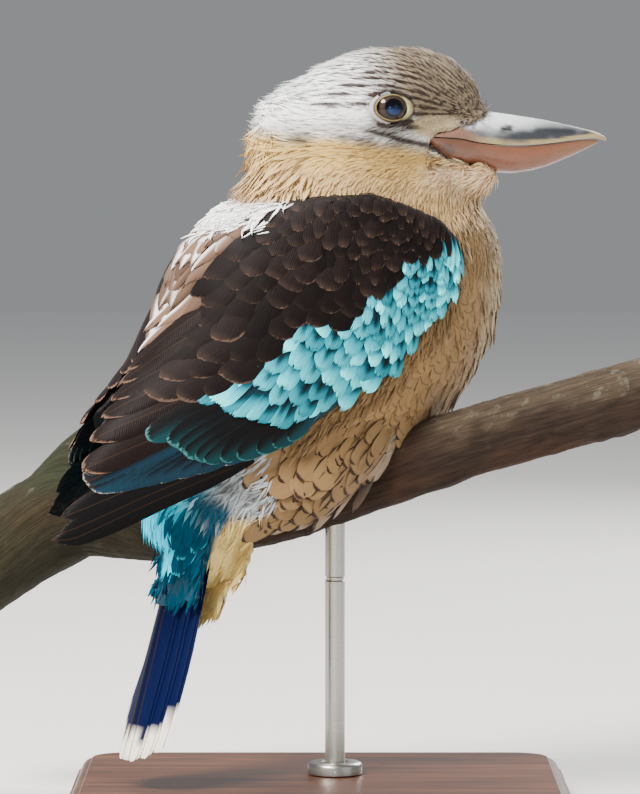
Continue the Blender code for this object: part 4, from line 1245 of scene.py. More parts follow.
        vent = self.markings.vent
        return [
            CoatRegion("crown_feathers", 0.85, Outline.TUFT, 3,
                       in_head(lambda x, s, z: smoothstep(277, 281, z) * smoothstep(-22, -16, x)),
                       lambda p: 4.6 + 4.4 * smoothstep(44, -20, ahead(p)), 0.062, 0.22, 0.07, 0.8, 0.06,
                       "head_coat", 11, True),
            CoatRegion("nape_feathers", 1.0, Outline.TUFT, 3,
                       in_head(lambda x, s, z: smoothstep(-16, -22, x) * smoothstep(256, 262, z)),
                       lambda p: 10.5 + 0 * p[:, 0], 0.05, 0.30, 0.10, 0.9, 0.14, "head_coat", 21, True),
            CoatRegion("face_feathers", 0.8, Outline.TUFT, 3,
                       in_head(lambda x, s, z: smoothstep(281, 277, z) * smoothstep(-2, 4, x)),
                       lambda p: 3.4 + 3.2 * smoothstep(40, 0, ahead(p)), 0.08, 0.26, 0.06, 0.8, 0.10,
                       "head_coat", 12, True),
            CoatRegion("cheek_feathers", 0.95, Outline.TUFT, 3,
                       in_head(lambda x, s, z: smoothstep(281, 277, z) * smoothstep(4, -2, x)
                               * smoothstep(-24, -20, x)),
                       lambda p: 7.0 + 0 * p[:, 0], 0.07, 0.20, 0.07, 0.6, 0.10, "head_coat", 13, True),
            CoatRegion("chin_tuft", 0.8, Outline.TUFT, 3,
                       in_head(lambda x, s, z: smoothstep(26, 36, x) * smoothstep(264, 259, z)),
                       lambda p: 6.5 + 0 * p[:, 0], 0.085, 0.34, 0.14, 0.5, 0.1, "head_coat", 22, True),
            CoatRegion("ruff_feathers", 1.0, Outline.TUFT, 3, self.by_wing,
                       lambda p: 9.5 + 0 * p[:, 0], 0.055, 0.62, 0.30, 0.45, 0.12, "cream_coat", 23, True),
            CoatRegion("neck_feathers", 0.95, Outline.TUFT, 3,
                       in_body(lambda f, s, z: smoothstep(212, 224, z) * smoothstep(-30, -20, f)),
                       lambda p: 7.5 + 0 * p[:, 0], 0.08, 0.15, 0.06, 0.6, 0.14, "cream_coat", 14, True),
            CoatRegion("breast_feathers", 2.3, Outline.ROUND, 5,
                       in_body(lambda f, s, z: smoothstep(226, 214, z) * smoothstep(146, 156, z)
                               * smoothstep(-30, -20, f)),
                       lambda p: along_rows(((150, 14.0), (220, 11.0)), p[:, 2]), 0.25, 0.09, 0.04, 0.5, 0.10,
                       "cream_coat", 15, arch=0.08),
            CoatRegion("flank_feathers", 4.6, Outline.ROUND, 7,
                       in_body(lambda f, s, z: smoothstep(158, 148, z) * smoothstep(-56, -48, f)
                               * smoothstep(116, 122, z), spare=vent),
                       lambda p: 17.0 + 0 * p[:, 0], 0.31, 0.10, 0.04, 0.3, 0.08, "cream_coat", 16, arch=0.05),
            CoatRegion("undertail_feathers", 1.3, Outline.LANCE, 3,
                       in_body(lambda f, s, z: smoothstep(-38, -48, f) * smoothstep(132, 124, z),
                               spare=lambda p: np.maximum(vent(p), self.markings.over_tail(p))),
                       lambda p: 9.0 + 0 * p[:, 0], 0.11, 0.03, 0.03, 0.3, 0.05, "cream_coat", 24),
            CoatRegion("vent_fluff", 0.95, Outline.TUFT, 3,
                       lambda p: (1 - self.head_share(p)) * smoothstep(0.1, 0.6, vent(p)),
                       lambda p: 12.0 + 0 * p[:, 0], 0.042, 0.22, 0.10, 0.8, 0.3, "cream_coat", 20, True),
            CoatRegion("back_feathers", 1.2, Outline.TUFT, 3,
                       in_body(lambda f, s, z: smoothstep(168, 180, z) * smoothstep(-12, -22, f)),
                       lambda p: 12.5 + 0 * p[:, 0], 0.05, 0.45, 0.10, 0.8, 0.3, "cream_coat", 17, True),
            CoatRegion("rump_feathers", 1.4, Outline.LANCE, 3,
                       lambda p: smoothstep(0.1, 0.6, self.markings.rump(p)) * smoothstep(88, 92, p[:, 2]),
                       lambda p: 8 + 6 * smoothstep(104, 116, p[:, 2]), 0.09, 0.07, 0.05, 0.6, 0.10,
                       "azure_feather", 18),
            CoatRegion("down_wisps", 1.2, Outline.TUFT, 3,
                       in_body(lambda f, s, z: 0.7 * smoothstep(-20, -10, f) * smoothstep(128, 140, z)),
                       lambda p: 8.0 + 0 * p[:, 0], 0.035, 0.16, 0.06, 0.9, 0.22, "cream_coat", 19),
        ]

    def build(self) -> None:
        """Builds the skin and all its feathers."""
        skin = self.build_skin()
        for region in self.regions():
            self.grow(skin, region)
        hand_over(skin, "cream_coat", *self.FLESH)


# Wings and tail

WING_SHOULDER = np.array((42.0, 225.0))
WING_TIP = np.array((-132.0, 107.0))
WING_LENGTH = 204.0
WING_TUCK = 16.0  # how much shorter the left wing is folded at its tip
WING_LOW = (
    (0, 0), (10, -10), (20, -15.5), (38, -17), (54, -23), (76, -20), (104, -20), (130, -15),
    (162, -8.7), (195, -4), (204, 0.5),
)
WING_HIGH = (
    (0, 6), (3, 15), (10, 25), (20, 38), (38, 49), (55, 55), (78, 56), (91, 51), (104, 43), (128, 32.5),
    (143, 29), (161, 25), (183, 15), (198, 6), (204, 3),
)
WING_TOP = (
    (0, 38), (12, 37), (25, 34), (38, 28), (55, 15), (70, 4), (90, 0.8), (110, 0.8), (125, 1), (143, 3),
    (161, 7), (183, 10), (210, 12),
)
WING_SIDE = (
    (0, 42), (10, 43.5), (20, 44.5), (40, 45.5), (60, 46), (80, 45), (104, 40), (130, 33), (162, 25),
    (195, 17), (210, 14),
)


class WingSurface:
    """The outer surface of a folded wing, measured along its axis and over from its lower edge."""

    STEP = 2.0
    OVERS = 61

    def __init__(self, side: int) -> None:
        """Lays out the surface in even steps.

        Args:
            side: -1 for the right wing, 1 for the left.
        """
        self.side = side
        self.run = unit(WING_TIP - WING_SHOULDER)
        self.rise = np.array((self.run[1], -self.run[0]))
        alongs = np.arange(0, WING_LENGTH + self.STEP, self.STEP)
        overs = np.linspace(0, 1, self.OVERS)
        grid = self.surface(alongs[:, None], overs[None, :])
        steps = np.linalg.norm(np.diff(grid, axis=1), axis=2)
        lengths = np.concatenate((np.zeros((len(alongs), 1)), np.cumsum(steps, axis=1)), axis=1)
        self.width = lengths[:, -1]
        self.lengths = lengths
        even = np.empty_like(grid)
        self.overs = np.empty(lengths.shape)
        for i, row in enumerate(lengths):
            target = np.linspace(0, row[-1], self.OVERS)
            self.overs[i] = np.interp(target, row, overs)
            for k in range(3):
                even[i, :, k] = np.interp(target, row, grid[i, :, k])
        self.points = even
        along_step = np.gradient(even, axis=0)
        over_step = np.gradient(even, axis=1)
        normal = unit(np.cross(along_step, over_step))
        facing = np.sign(normal @ np.array((0.2, side, 0.5)))
        self.normals = normal * facing[..., None]
        self.over_steps = unit(over_step)

    def surface(self, along: Array, over: Array) -> Array:
        """Points from places along the axis and shares over from the lower edge."""
        low, high = along_rows(WING_LOW, along), along_rows(WING_HIGH, along)
        top, flank = along_rows(WING_TOP, along), along_rows(WING_SIDE, along)
        lift = low + (high - low) * np.sin(over * math.pi / 2)
        out = top + (flank - top) * np.maximum(0, np.cos(over * math.pi / 2)) ** 0.8
        out = out - 0.12 * (flank - top) * np.maximum(0, 1 - over / 0.3) ** 2
        tuck = WING_TUCK * np.maximum(2 * along / WING_LENGTH - 1, 0) if self.side > 0 else 0
        along = along - tuck + 0 * lift
        f = WING_SHOULDER[0] + self.run[0] * along + self.rise[0] * lift
        z = WING_SHOULDER[1] + self.run[1] * along + self.rise[1] * lift
        return np.stack((f, self.side * out, z), axis=-1)

    def flat(self, place: Array) -> tuple[Array, Array]:
        """Place along the axis and height over it, of rows in the bird's frame."""
        offset = place[:, (0, 2)] - WING_SHOULDER
        return offset @ self.run, offset @ self.rise

    def breadth(self, along: Array) -> Array:
        """Distance over the surface from the lower edge to the top."""
        return np.interp(along, np.arange(len(self.width)) * self.STEP, self.width)

    def reach(self, along: float, over: float) -> float:
        """Distance over the surface from the lower edge to a share over from it."""
        i = min(max(int(round(along / self.STEP)), 0), len(self.width) - 1)
        return float(np.interp(over, np.linspace(0, 1, self.OVERS), self.lengths[i]))

    def share(self, along: float, reach: float) -> float:
        """The share over from the lower edge at a distance over the surface."""
        i = min(max(int(round(along / self.STEP)), 0), len(self.width) - 1)
        return float(np.interp(reach / max(self.width[i], 1), np.linspace(0, 1, self.OVERS), self.overs[i]))

    def at(self, along: Array, reach: Array) -> tuple[Array, Array]:
        """Points and normals of the surface.

        Args:
            along: places along the axis.
            reach: distances over the surface from the lower edge.

        Returns:
            Points and normals. Past an edge the surface goes on straight.
        """
        limit = (len(self.width) - 1) * self.STEP
        inside = np.clip(along, 0, limit - 0.01)
        breadth = self.breadth(inside)
        held = np.clip(reach, 0, breadth)
        x, y = inside / self.STEP, held / np.maximum(breadth, 1) * (self.OVERS - 1)
        i, j = x.astype(int), np.minimum(y.astype(int), self.OVERS - 2)
        u, v = (x - i)[..., None], (y - j)[..., None]

        def sample(grid: Array) -> Array:
            """Values of the grid between its points."""
            near = grid[i, j] * (1 - v) + grid[i, j + 1] * v
            far = grid[i + 1, j] * (1 - v) + grid[i + 1, j + 1] * v
            return near * (1 - u) + far * u

        point, normal = sample(self.points), unit(sample(self.normals))
        over_step = unit(sample(self.over_steps))
        run = np.array((self.run[0], 0, self.run[1]))
        point = point + over_step * (reach - held)[..., None] + run * (along - inside)[..., None]
        return point, normal


class TailSurface:
    """The roof-shaped upper surface of the tail, measured along its middle line and across it."""

    ROOT = np.array((-61.7, 116.8))
    TIP = np.array((-87.3, 25.5))
    SLOPE = ((0, 0.33), (20, 0.33), (50, 0.285), (95, 0.1))

    def __init__(self) -> None:
        """Works out the tail's directions."""
        self.length = float(np.linalg.norm(self.TIP - self.ROOT))
        self.run = unit(self.TIP - self.ROOT)
        self.above = np.array((self.run[1], -self.run[0]))

    def at(self, along: Array, across: Array) -> tuple[Array, Array]:
        """Points and normals of the surface at places along and across it."""
        slope = along_rows(self.SLOPE, along)
        drop = -slope * np.abs(across)
        f = self.ROOT[0] + self.run[0] * along + self.above[0] * drop
        z = self.ROOT[1] + self.run[1] * along + self.above[1] * drop
        tilt = slope * np.sign(across) * smoothstep(0, 3, np.abs(across))
        normal = unit(np.stack((self.above[0] + 0 * tilt, tilt, self.above[1] + 0 * tilt), axis=-1))
        return np.stack((f, across + 0 * f, z), axis=-1), normal


Mark = Callable[[Array, Array, float], tuple[Array, Array]]


@dataclass
class Quill:
    """A large feather laid on a surface. Sizes are in millimetres.

    mark gives the colour with the bar's strength, and the fringe's colour with its width, from places across
    (-1 to 1) and along (0 to 1) the feather and its chance.
    """

    tip: tuple[float, float]
    length: float
    half: float
    lean: float
    level: tuple[float, float]
    mark: Mark
    blunt: float = 2.2
    ragged: float = 0.0
    tilt: float = 0.0
    camber: float = 0.12
    sweep: float = 0.0
    chance: float = 0.5


class QuillSheet:
    """Builds many large feathers on one surface as one mesh."""

    ALONG = np.concatenate((np.linspace(0, 0.6, 6), 0.6 + 0.4 * np.sin(np.radians(np.linspace(12, 90, 9)))))

    def __init__(self, at: Place, thickness: float = 0.35, columns: int = 11) -> None:
        """Keeps the surface and the sizes that all feathers share.

        Args:
            at: gives points and normals of the surface.
            thickness: of each vane, in millimetres.
            columns: points across a vane.
        """
        self.at = at
        self.thickness = thickness
        self.columns = columns
        self.faces, self.under, self.side = vane_grid(len(self.ALONG), columns)

    def vane(self, quill: Quill, seed: int) -> tuple[Array, Array, Array, Array, Array]:
        """One feather's points, colours, fringe and own coordinates."""
        rows, columns = len(self.ALONG), self.columns
        v = np.repeat(self.ALONG, columns)
        u = np.tile(np.linspace(-1, 1, columns), rows)
        end = np.clip((v - 0.62) / 0.38, 0, 1)
        width = np.maximum(1 - end**quill.blunt, 0.02) ** (1 / quill.blunt)
        width = width * (0.35 + 0.65 * smoothstep(-0.05, 0.22, v)) * (0.9 + 0.1 * smoothstep(0.2, 0.7, v))
        draw = np.random.default_rng(seed)
        frays = np.tile(draw.random(columns), rows) * quill.ragged / quill.length
        place = v - frays * smoothstep(0.7, 1.0, v)
        lean = math.radians(quill.lean)
        way = np.array((math.cos(lean), -math.sin(lean)))
        beside = np.array((math.sin(lean), math.cos(lean)))
        start = np.array(quill.tip) - way * quill.length
        bow = quill.sweep * quill.length * v * (1 - v)
        offset = u * quill.half * width
        flat = start + way * (place * quill.length)[:, None] + beside * (offset + bow)[:, None]
        point, normal = self.at(flat[:, 0], flat[:, 1])
        level = quill.level[0] + (quill.level[1] - quill.level[0]) * v
        level = level + quill.tilt * offset + quill.camber * quill.half * (1 - u**2) * width
        grid = point + normal * level[:, None]
        points = grid[self.under] + normal[self.under] * (self.side * self.thickness / 2)[:, None]
        tint, rim = quill.mark(u, v, quill.chance)
        own = np.column_stack((u, v, np.full(len(u), quill.chance)))
        span = np.column_stack((offset, place * quill.length, np.full(len(u), quill.length)))
        return points, tint[self.under], rim[self.under], own[self.under], span[self.under]

    def build(self, name: str, quills: list[Quill], finish: bpy.types.Material) -> bpy.types.Object:
        """Builds the feathers as one piece, each with its own cell of the bake map.

        Args:
            name: the piece's name.
            quills: the feathers.
            finish: their material.

        Returns:
            The object.
        """
        made = [self.vane(quill, seed) for seed, quill in enumerate(quills)]
        points, tint, rim, own, span = (np.concatenate(part) for part in zip(*made))
        size = len(self.side)
        faces = (np.array(self.faces)[None] + size * np.arange(len(quills))[:, None, None]).reshape(-1, 4)
        obj = mesh_piece(name, bird_to_world(points), faces)
        for key, values in (("Tint", tint), ("Rim", rim), ("Vane", own), ("Span", span)):
            give(obj.data, key, values)
        sharpen_rim(obj.data, np.tile(self.side == 0, len(quills)))
        cells = math.ceil(math.sqrt(len(quills)))
        cell = np.repeat(np.arange(len(quills)), size)
        corner = np.column_stack((cell % cells, cell // cells))
        inside = np.column_stack((own[:, 0] * 0.46 + 0.5, own[:, 1] * 0.92 + 0.04))
        give_uv(obj.data, (corner + inside) / cells)
        obj.data.materials.append(finish)
        return face_out(obj)


def webbed(dark: Shade, bright: Shade, edge: Shade, width: float, cut: float = 0.1, tip: Shade | None = None,
           ends: float = -1.0) -> Mark:
    """Marks of a quill whose web towards the wing's lower edge is brighter than the other.

    Args:
        dark: colour of the hidden web and of the shaft's side.
        bright: colour of the web that shows.
        edge: the fringe's colour.
        width: the fringe's width as a share of the feather.
        cut: where across the feather the bright web starts.
        tip: a colour that the bright web takes on towards the feather's end.
        ends: how far along the feather the fringe starts.

    Returns:
        The mark.
    """

    def mark(u: Array, v: Array, chance: float) -> tuple[Array, Array]:
        """Colour with the bar's strength, and fringe."""
        colour = mixed(np.tile(dark.rgb, (len(u), 1)), bright.rgb, smoothstep(cut + 0.3, cut - 0.25, u))
        if tip:
            colour = mixed(colour, tip.rgb, smoothstep(0.5, 0.95, v) * smoothstep(0.5, -0.3, u))
        colour = colour * (0.85 + 0.3 * chance)
        rim = np.column_stack((np.tile(edge.rgb, (len(u), 1)), width * smoothstep(ends, ends + 0.1, v)))
        return np.column_stack((colour, 0 * u)), rim

    return mark


def azure_mark(u: Array, v: Array, chance: float) -> tuple[Array, Array]:
    """Marks of an azure covert: dark at its base and along the shaft, partly painted shade between the
    feathers; bright and pale towards its end, partly a painted highlight.
    """
    # Painted shade and highlight: the dark base stands partly for shade between the feathers, the pale end
    # partly for a highlight.
    base = mixed(Shade.QUILL_BLACK.rgb, Shade.TEAL.rgb, smoothstep(0.2, 0.6, v))
    start = 0.48 + 0.4 * max(0.0, chance - 0.5)
    lit = smoothstep(start, start + 0.24, v + 0.14 * np.abs(u))
    bright = mixed(Shade.AZURE_COVERT.rgb, Shade.AZURE_TIP.rgb,
                   smoothstep(0.55, 0.95, v) * (1 - chance) ** 1.5)
    colour = mixed(base, bright * (0.55 + 0.75 * (1 - chance)), lit)
    shaft = smoothstep(0.34, 0.08, np.abs(u + 0.15)) * smoothstep(0.95, 0.6, v) * (chance > 0.55)
    colour = mixed(colour, Shade.QUILL_BLACK.rgb, 0.85 * shaft)
    return np.column_stack((colour, 0 * u)), np.zeros((len(u), 4))


def brown_mark(edge: float) -> Mark:
    """Marks of a scapular: dark chocolate with a paler fringe of a given width."""

    def mark(u: Array, v: Array, chance: float) -> tuple[Array, Array]:
        """Colour with the bar's strength, and fringe."""
        colour = np.tile(Shade.CHOCOLATE.rgb * (0.6 + 0.9 * chance**2), (len(u), 1))
        colour = mixed(colour, Shade.CHOCOLATE_EDGE.rgb, 0.35 * smoothstep(0.8, 1.0, v) * chance)
        rim = np.column_stack((np.tile(Shade.CHOCOLATE_EDGE.rgb, (len(u), 1)), edge * smoothstep(0.6, 0.8, v)))
        return np.column_stack((colour, 0 * u)), rim

    return mark


def medial_mark(u: Array, v: Array, chance: float) -> tuple[Array, Array]:
    """Marks of the scapulars along the back: grey-brown, many with a white streak down one web."""
    colour = mixed(Shade.CHOCOLATE.rgb, Shade.MEDIAL.rgb, 0.45 + 0.5 * chance)
    streak = smoothstep(0.6, 0.05, np.abs(u - 0.45)) * smoothstep(0.1, 0.6, v) * smoothstep(0.35, 0.8, chance)
    colour = mixed(colour, Shade.WHITE.rgb, 0.8 * streak)
    colour = mixed(colour, Shade.CHOCOLATE.rgb, 0.5 * smoothstep(0.3, 0.9, -u) * (chance < 0.7))
    return np.column_stack((colour, 0 * u)), np.zeros((len(u), 4))


def down_mark(u: Array, v: Array, chance: float) -> tuple[Array, Array]:
    """Marks of the white down between the wings, dark grey at the roots of some."""
    colour = mixed(Shade.WHITE.rgb, Shade.VENT_GREY.rgb, 0.5 * smoothstep(0.6, 0.0, v))
    colour = mixed(colour, Shade.STREAK_GREY.rgb, (chance > 0.93) * smoothstep(1.0, 0.4, v))
    return np.column_stack((colour, 0 * u)), np.zeros((len(u), 4))


@dataclass(frozen=True)
class Tier:
    """A row of large feathers on the wing. Pairs are the values at the row's two ends."""

    count: int
    tips: tuple[tuple[float, float], ...]
    length: tuple[float, float]
    half: tuple[float, float]
    lean: tuple[float, float]
    level: tuple[float, float]
    mark: Mark
    rise: float = 0.0
    blunt: float = 2.2
    ragged: float = 0.0
    tilt: float = 0.0
    edge: float = 0.0


@dataclass
class Wing:
    """A folded wing: core, flight feathers, coverts and scapulars."""

    side: int
    name: str
    flights: tuple[Tier, ...] = (
        Tier(9, ((166, 0.0), (181, 0.05), (191, 0.2), (199, 0.36), (203, 0.46), (199, 0.58), (193, 0.68)),
             (74, 84), (4.2, 6.4), (3, -3), (-0.6, -0.1),
             webbed(Shade.QUILL_BLACK, Shade.QUILL_BLACK, Shade.CHOCOLATE_EDGE, 0.03), 0.7, 2.0, 0.4, 0.0, 4.0),
        Tier(11, ((176, 0.72), (178, 0.60), (177, 0.48), (171, 0.36), (162, 0.26), (151, 0.18), (138, 0.12),
                  (122, 0.08)), (74, 52), (8.0, 6.6), (3, 8), (0.2, 1.1),
             webbed(Shade.QUILL_BLACK, Shade.STEEL_BLUE, Shade.IVORY, 0.025, -0.35, None, 0.86),
             -0.4, 2.8, 0.4, -0.05, 4.5),
        Tier(6, ((176, 0.80), (166, 0.89), (156, 0.94), (147, 0.97), (139, 0.99), (132, 1.0)), (46, 34),
             (6.0, 5.4), (0, 4), (1.0, 1.9),
             webbed(Shade.CHOCOLATE, Shade.CHOCOLATE, Shade.MEDIAL, 0.07, 0.1, None, 0.82),
             0.8, 2.6, 1.2, -0.03, 0.0),
    )
    coverts: tuple[Tier, ...] = (
        Tier(11, ((150, 0.44), (144, 0.31), (142, 0.23), (139, 0.16), (134, 0.11), (124, 0.06), (114, 0.04),
                  (106, 0.03)), (44, 22), (7.4, 5.2), (8, 20), (0.7, 1.8),
             webbed(Shade.QUILL_BLACK, Shade.TEAL, Shade.COVERT_EDGE, 0.035, -0.2, Shade.SEA_GREEN, -0.6),
             -0.5, 2.2, 0.5, 0.07, 3.5),
        Tier(2, ((129, 0.50), (127, 0.44)), (22, 22), (4.6, 4.4), (14, 16), (0.9, 2.0), azure_mark, 0.0,
             2.8, 1.6),
        Tier(14, ((123, 0.40), (121, 0.31), (117, 0.23), (111, 0.15), (104, 0.09), (92, 0.06), (78, 0.05),
                  (62, 0.05)), (27, 17), (5.2, 3.8), (20, 40), (0.9, 2.0), azure_mark, -0.3, 2.8, 2.0,
             -0.06, 2.5),
    )
    BOUNDARY = ((0, 0.10), (4, 0.17), (14, 0.25), (22, 0.29), (40, 0.24), (54, 0.27), (62, 0.23), (74, 0.28),
                (84, 0.31), (94, 0.36), (106, 0.38), (114, 0.38), (120, 0.40), (126, 0.46), (150, 0.8))
    LAST_AZURE = ((0, 0.0), (84, 0.0), (98, 0.03), (108, 0.09), (116, 0.20), (122, 0.32), (126, 0.46))
    LEANS = ((0, 55), (30, 46), (90, 27), (130, 14))

    def __post_init__(self) -> None:
        """Lays out the wing's surface."""
        self.surface = WingSurface(self.side)

    def row(self, tier: Tier, seed: int) -> list[Quill]:
        """The feathers of one tier."""
        draw = np.random.default_rng(seed)
        tips = smooth_line(tier.tips, tier.count)
        made = []
        for i, (along, over) in enumerate(tips):
            t = i / (tier.count - 1)
            length, half, lean = (a + (b - a) * t for a, b in (tier.length, tier.half, tier.lean))
            reach = max(self.surface.reach(along, min(max(over, 0), 1)), tier.edge)
            lift = tier.rise * t
            made.append(Quill((along + draw.uniform(-0.8, 0.8), reach), length, half,
                              lean + draw.uniform(-1.5, 1.5), (tier.level[0] + lift, tier.level[1] + lift),
                              tier.mark, tier.blunt, tier.ragged, tier.tilt, 0.10, 0.0, float(draw.random())))
        return made

    def small_coverts(self, seed: int = 21) -> list[Quill]:
        """The azure lesser coverts and the brown scapulars, in staggered rows."""
        draw = np.random.default_rng(seed)
        made, along, column = [], 8.0, 0
        while along < 140:
            grown = float(smoothstep(15, 105, along))
            breadth = float(self.surface.breadth(along))
            step = 4.4 + 4.6 * grown
            reach = (column % 2) * step / 2 + 1.0
            limit = breadth + (10 if along > 54 else 2)
            while reach < limit:
                p, q = along + draw.uniform(-1.2, 1.2), reach + draw.uniform(-1, 1)
                over = self.surface.share(p, min(max(q, 0), breadth))
                border = float(along_rows(self.BOUNDARY, p)) + draw.uniform(-0.02, 0.02)
                lean = float(along_rows(self.LEANS, p)) * (1 - 0.7 * float(smoothstep(0.55, 1, over)))
                lean += draw.uniform(-5, 5)
                chance = float(draw.random())
                level = (0.4 + 0.2 * chance, 1.6 + 0.5 * chance)
                tilt = draw.uniform(-0.09, -0.03)
                if over > 0.84 and 54 < p < 76:
                    for _ in range(14):
                        spot = (p + draw.uniform(-5, 5), q + draw.uniform(-5, 5))
                        made.append(Quill(spot, draw.uniform(9, 18), 0.45, lean + draw.uniform(-45, 45),
                                          (0.6, draw.uniform(1.6, 4.4)), down_mark, 1.4, 0.5, 0.0, 0.3,
                                          sweep=draw.uniform(-0.4, 0.4), chance=float(draw.random())))
                elif over > 0.84 and p > 76:
                    made.append(Quill((p, q), 24, 4.6, lean, level, medial_mark, 1.7, 3.0, tilt, 0.15,
                                      chance=chance))
                elif over > border:
                    edge = 0.02 + 0.06 * float(smoothstep(70, 120, p)) * chance
                    made.append(Quill((p, q), 14 + 12 * grown, 4.4 + 3.8 * grown, lean, level,
                                      brown_mark(edge), 2.3, 1.2 - 0.6 * grown, tilt, 0.12, chance=chance))
                elif over > float(along_rows(self.LAST_AZURE, p)) and p < 118:
                    made.append(Quill((p, q), 12.5 + 8 * grown, 3.0 + 1.5 * grown, lean, level, azure_mark, 2.6,
                                      2.2, tilt, 0.12, chance=chance))
                reach += step if over > border else 0.82 * step
            along += 4.4 + 3.8 * grown
            column += 1
        return made

    def core(self) -> bpy.types.Object:
        """The wing's body under its feathers."""
        alongs = np.linspace(1, 158, 80)
        shares = np.linspace(0.02, 0.98, 36)
        along = np.repeat(alongs, len(shares))
        reach = np.tile(shares, len(alongs)) * self.surface.breadth(along)
        point, normal = self.surface.at(along, reach)
        depth = np.interp(along, (0, 60, 110, 130, 150, 158), (7, 8, 6, 3.5, 1.5, 0.6))
        faces, under, side = vane_grid(len(alongs), len(shares))
        sunk = point - normal * 0.5
        points = sunk[under]
        below = side < 0
        points[below] -= (normal * depth[:, None])[under][below]
        over = np.tile(shares, len(alongs))
        azure = smoothstep(0.05, -0.05, over - along_rows(self.BOUNDARY, along)) * (along < 110)
        tint = mixed(Shade.CHOCOLATE.rgb, Shade.TEAL.rgb, azure)
        obj = mesh_piece(f"{self.name}_core", bird_to_world(points), faces)
        give(obj.data, "Tint", np.column_stack((tint, np.ones(len(tint))))[under])
        obj.data.materials.append(Skin("wing_skin").material())
        return face_out(obj)

    def build(self, finish: bpy.types.Material, soft: bpy.types.Material) -> None:
        """Builds the wing's pieces.

        Args:
            finish: of the flight feathers.
            soft: of the coverts and scapulars.
        """
        sheet = QuillSheet(self.surface.at)
        flights = [quill for i, tier in enumerate(self.flights) for quill in self.row(tier, i)]
        coverts = [quill for i, tier in enumerate(self.coverts) for quill in self.row(tier, 10 + i)]
        hand_over(self.core(), "brown_feather", self.name)
        hand_over(sheet.build(f"{self.name}_flights", flights, finish), "blue_feather")
        hand_over(sheet.build(f"{self.name}_coverts", coverts, soft), "azure_feather")
        hand_over(sheet.build(f"{self.name}_scapulars", self.small_coverts(), soft), "brown_feather")


def rectrix_mark(pair: int, near: bool) -> Mark:
    """Marks of a tail feather: royal blue, darker towards the middle, with a white end.

    Args:
        pair: 0 for the middle pair, 5 for the outermost.
        near: whether the feather is on the bird's right.

    Returns:
        The mark.
    """
    outer = -1 if near else 1

    def mark(u: Array, v: Array, chance: float) -> tuple[Array, Array]:
        """Colour with the bar's strength, and fringe."""
        colour = mixed(Shade.NAVY.rgb, Shade.ROYAL.rgb, smoothstep(-0.7, 0.1, u * outer))
        if pair == 0:
            colour = mixed(colour, Shade.QUILL_BLACK.rgb, smoothstep(-0.45, -0.65, u * outer))
        start = 0.885 - 0.010 * pair + 0.03 * np.abs(u) * (1 - pair / 6)
        colour = mixed(colour, Shade.IVORY.rgb, smoothstep(0, 0.02, v - start))
        rim = np.column_stack((np.tile(Shade.IVORY.rgb, (len(u), 1)), np.full(len(u), 0.03 * (pair == 5))))
        return np.column_stack((colour, 0 * u)), rim

    return mark


def flat_mark(shade: Shade, edge: Shade, width: float) -> Mark:
    """Marks of a feather of one colour with a fringe."""

    def mark(u: Array, v: Array, chance: float) -> tuple[Array, Array]:
        """Colour with the bar's strength, and fringe."""
        colour = np.tile(shade.rgb * (0.8 + 0.4 * chance), (len(u), 1)) * (0.7 + 0.4 * v)[:, None]
        rim = np.column_stack((np.tile(edge.rgb, (len(u), 1)), np.full(len(u), width)))
        return np.column_stack((colour, 0 * u)), rim

    return mark


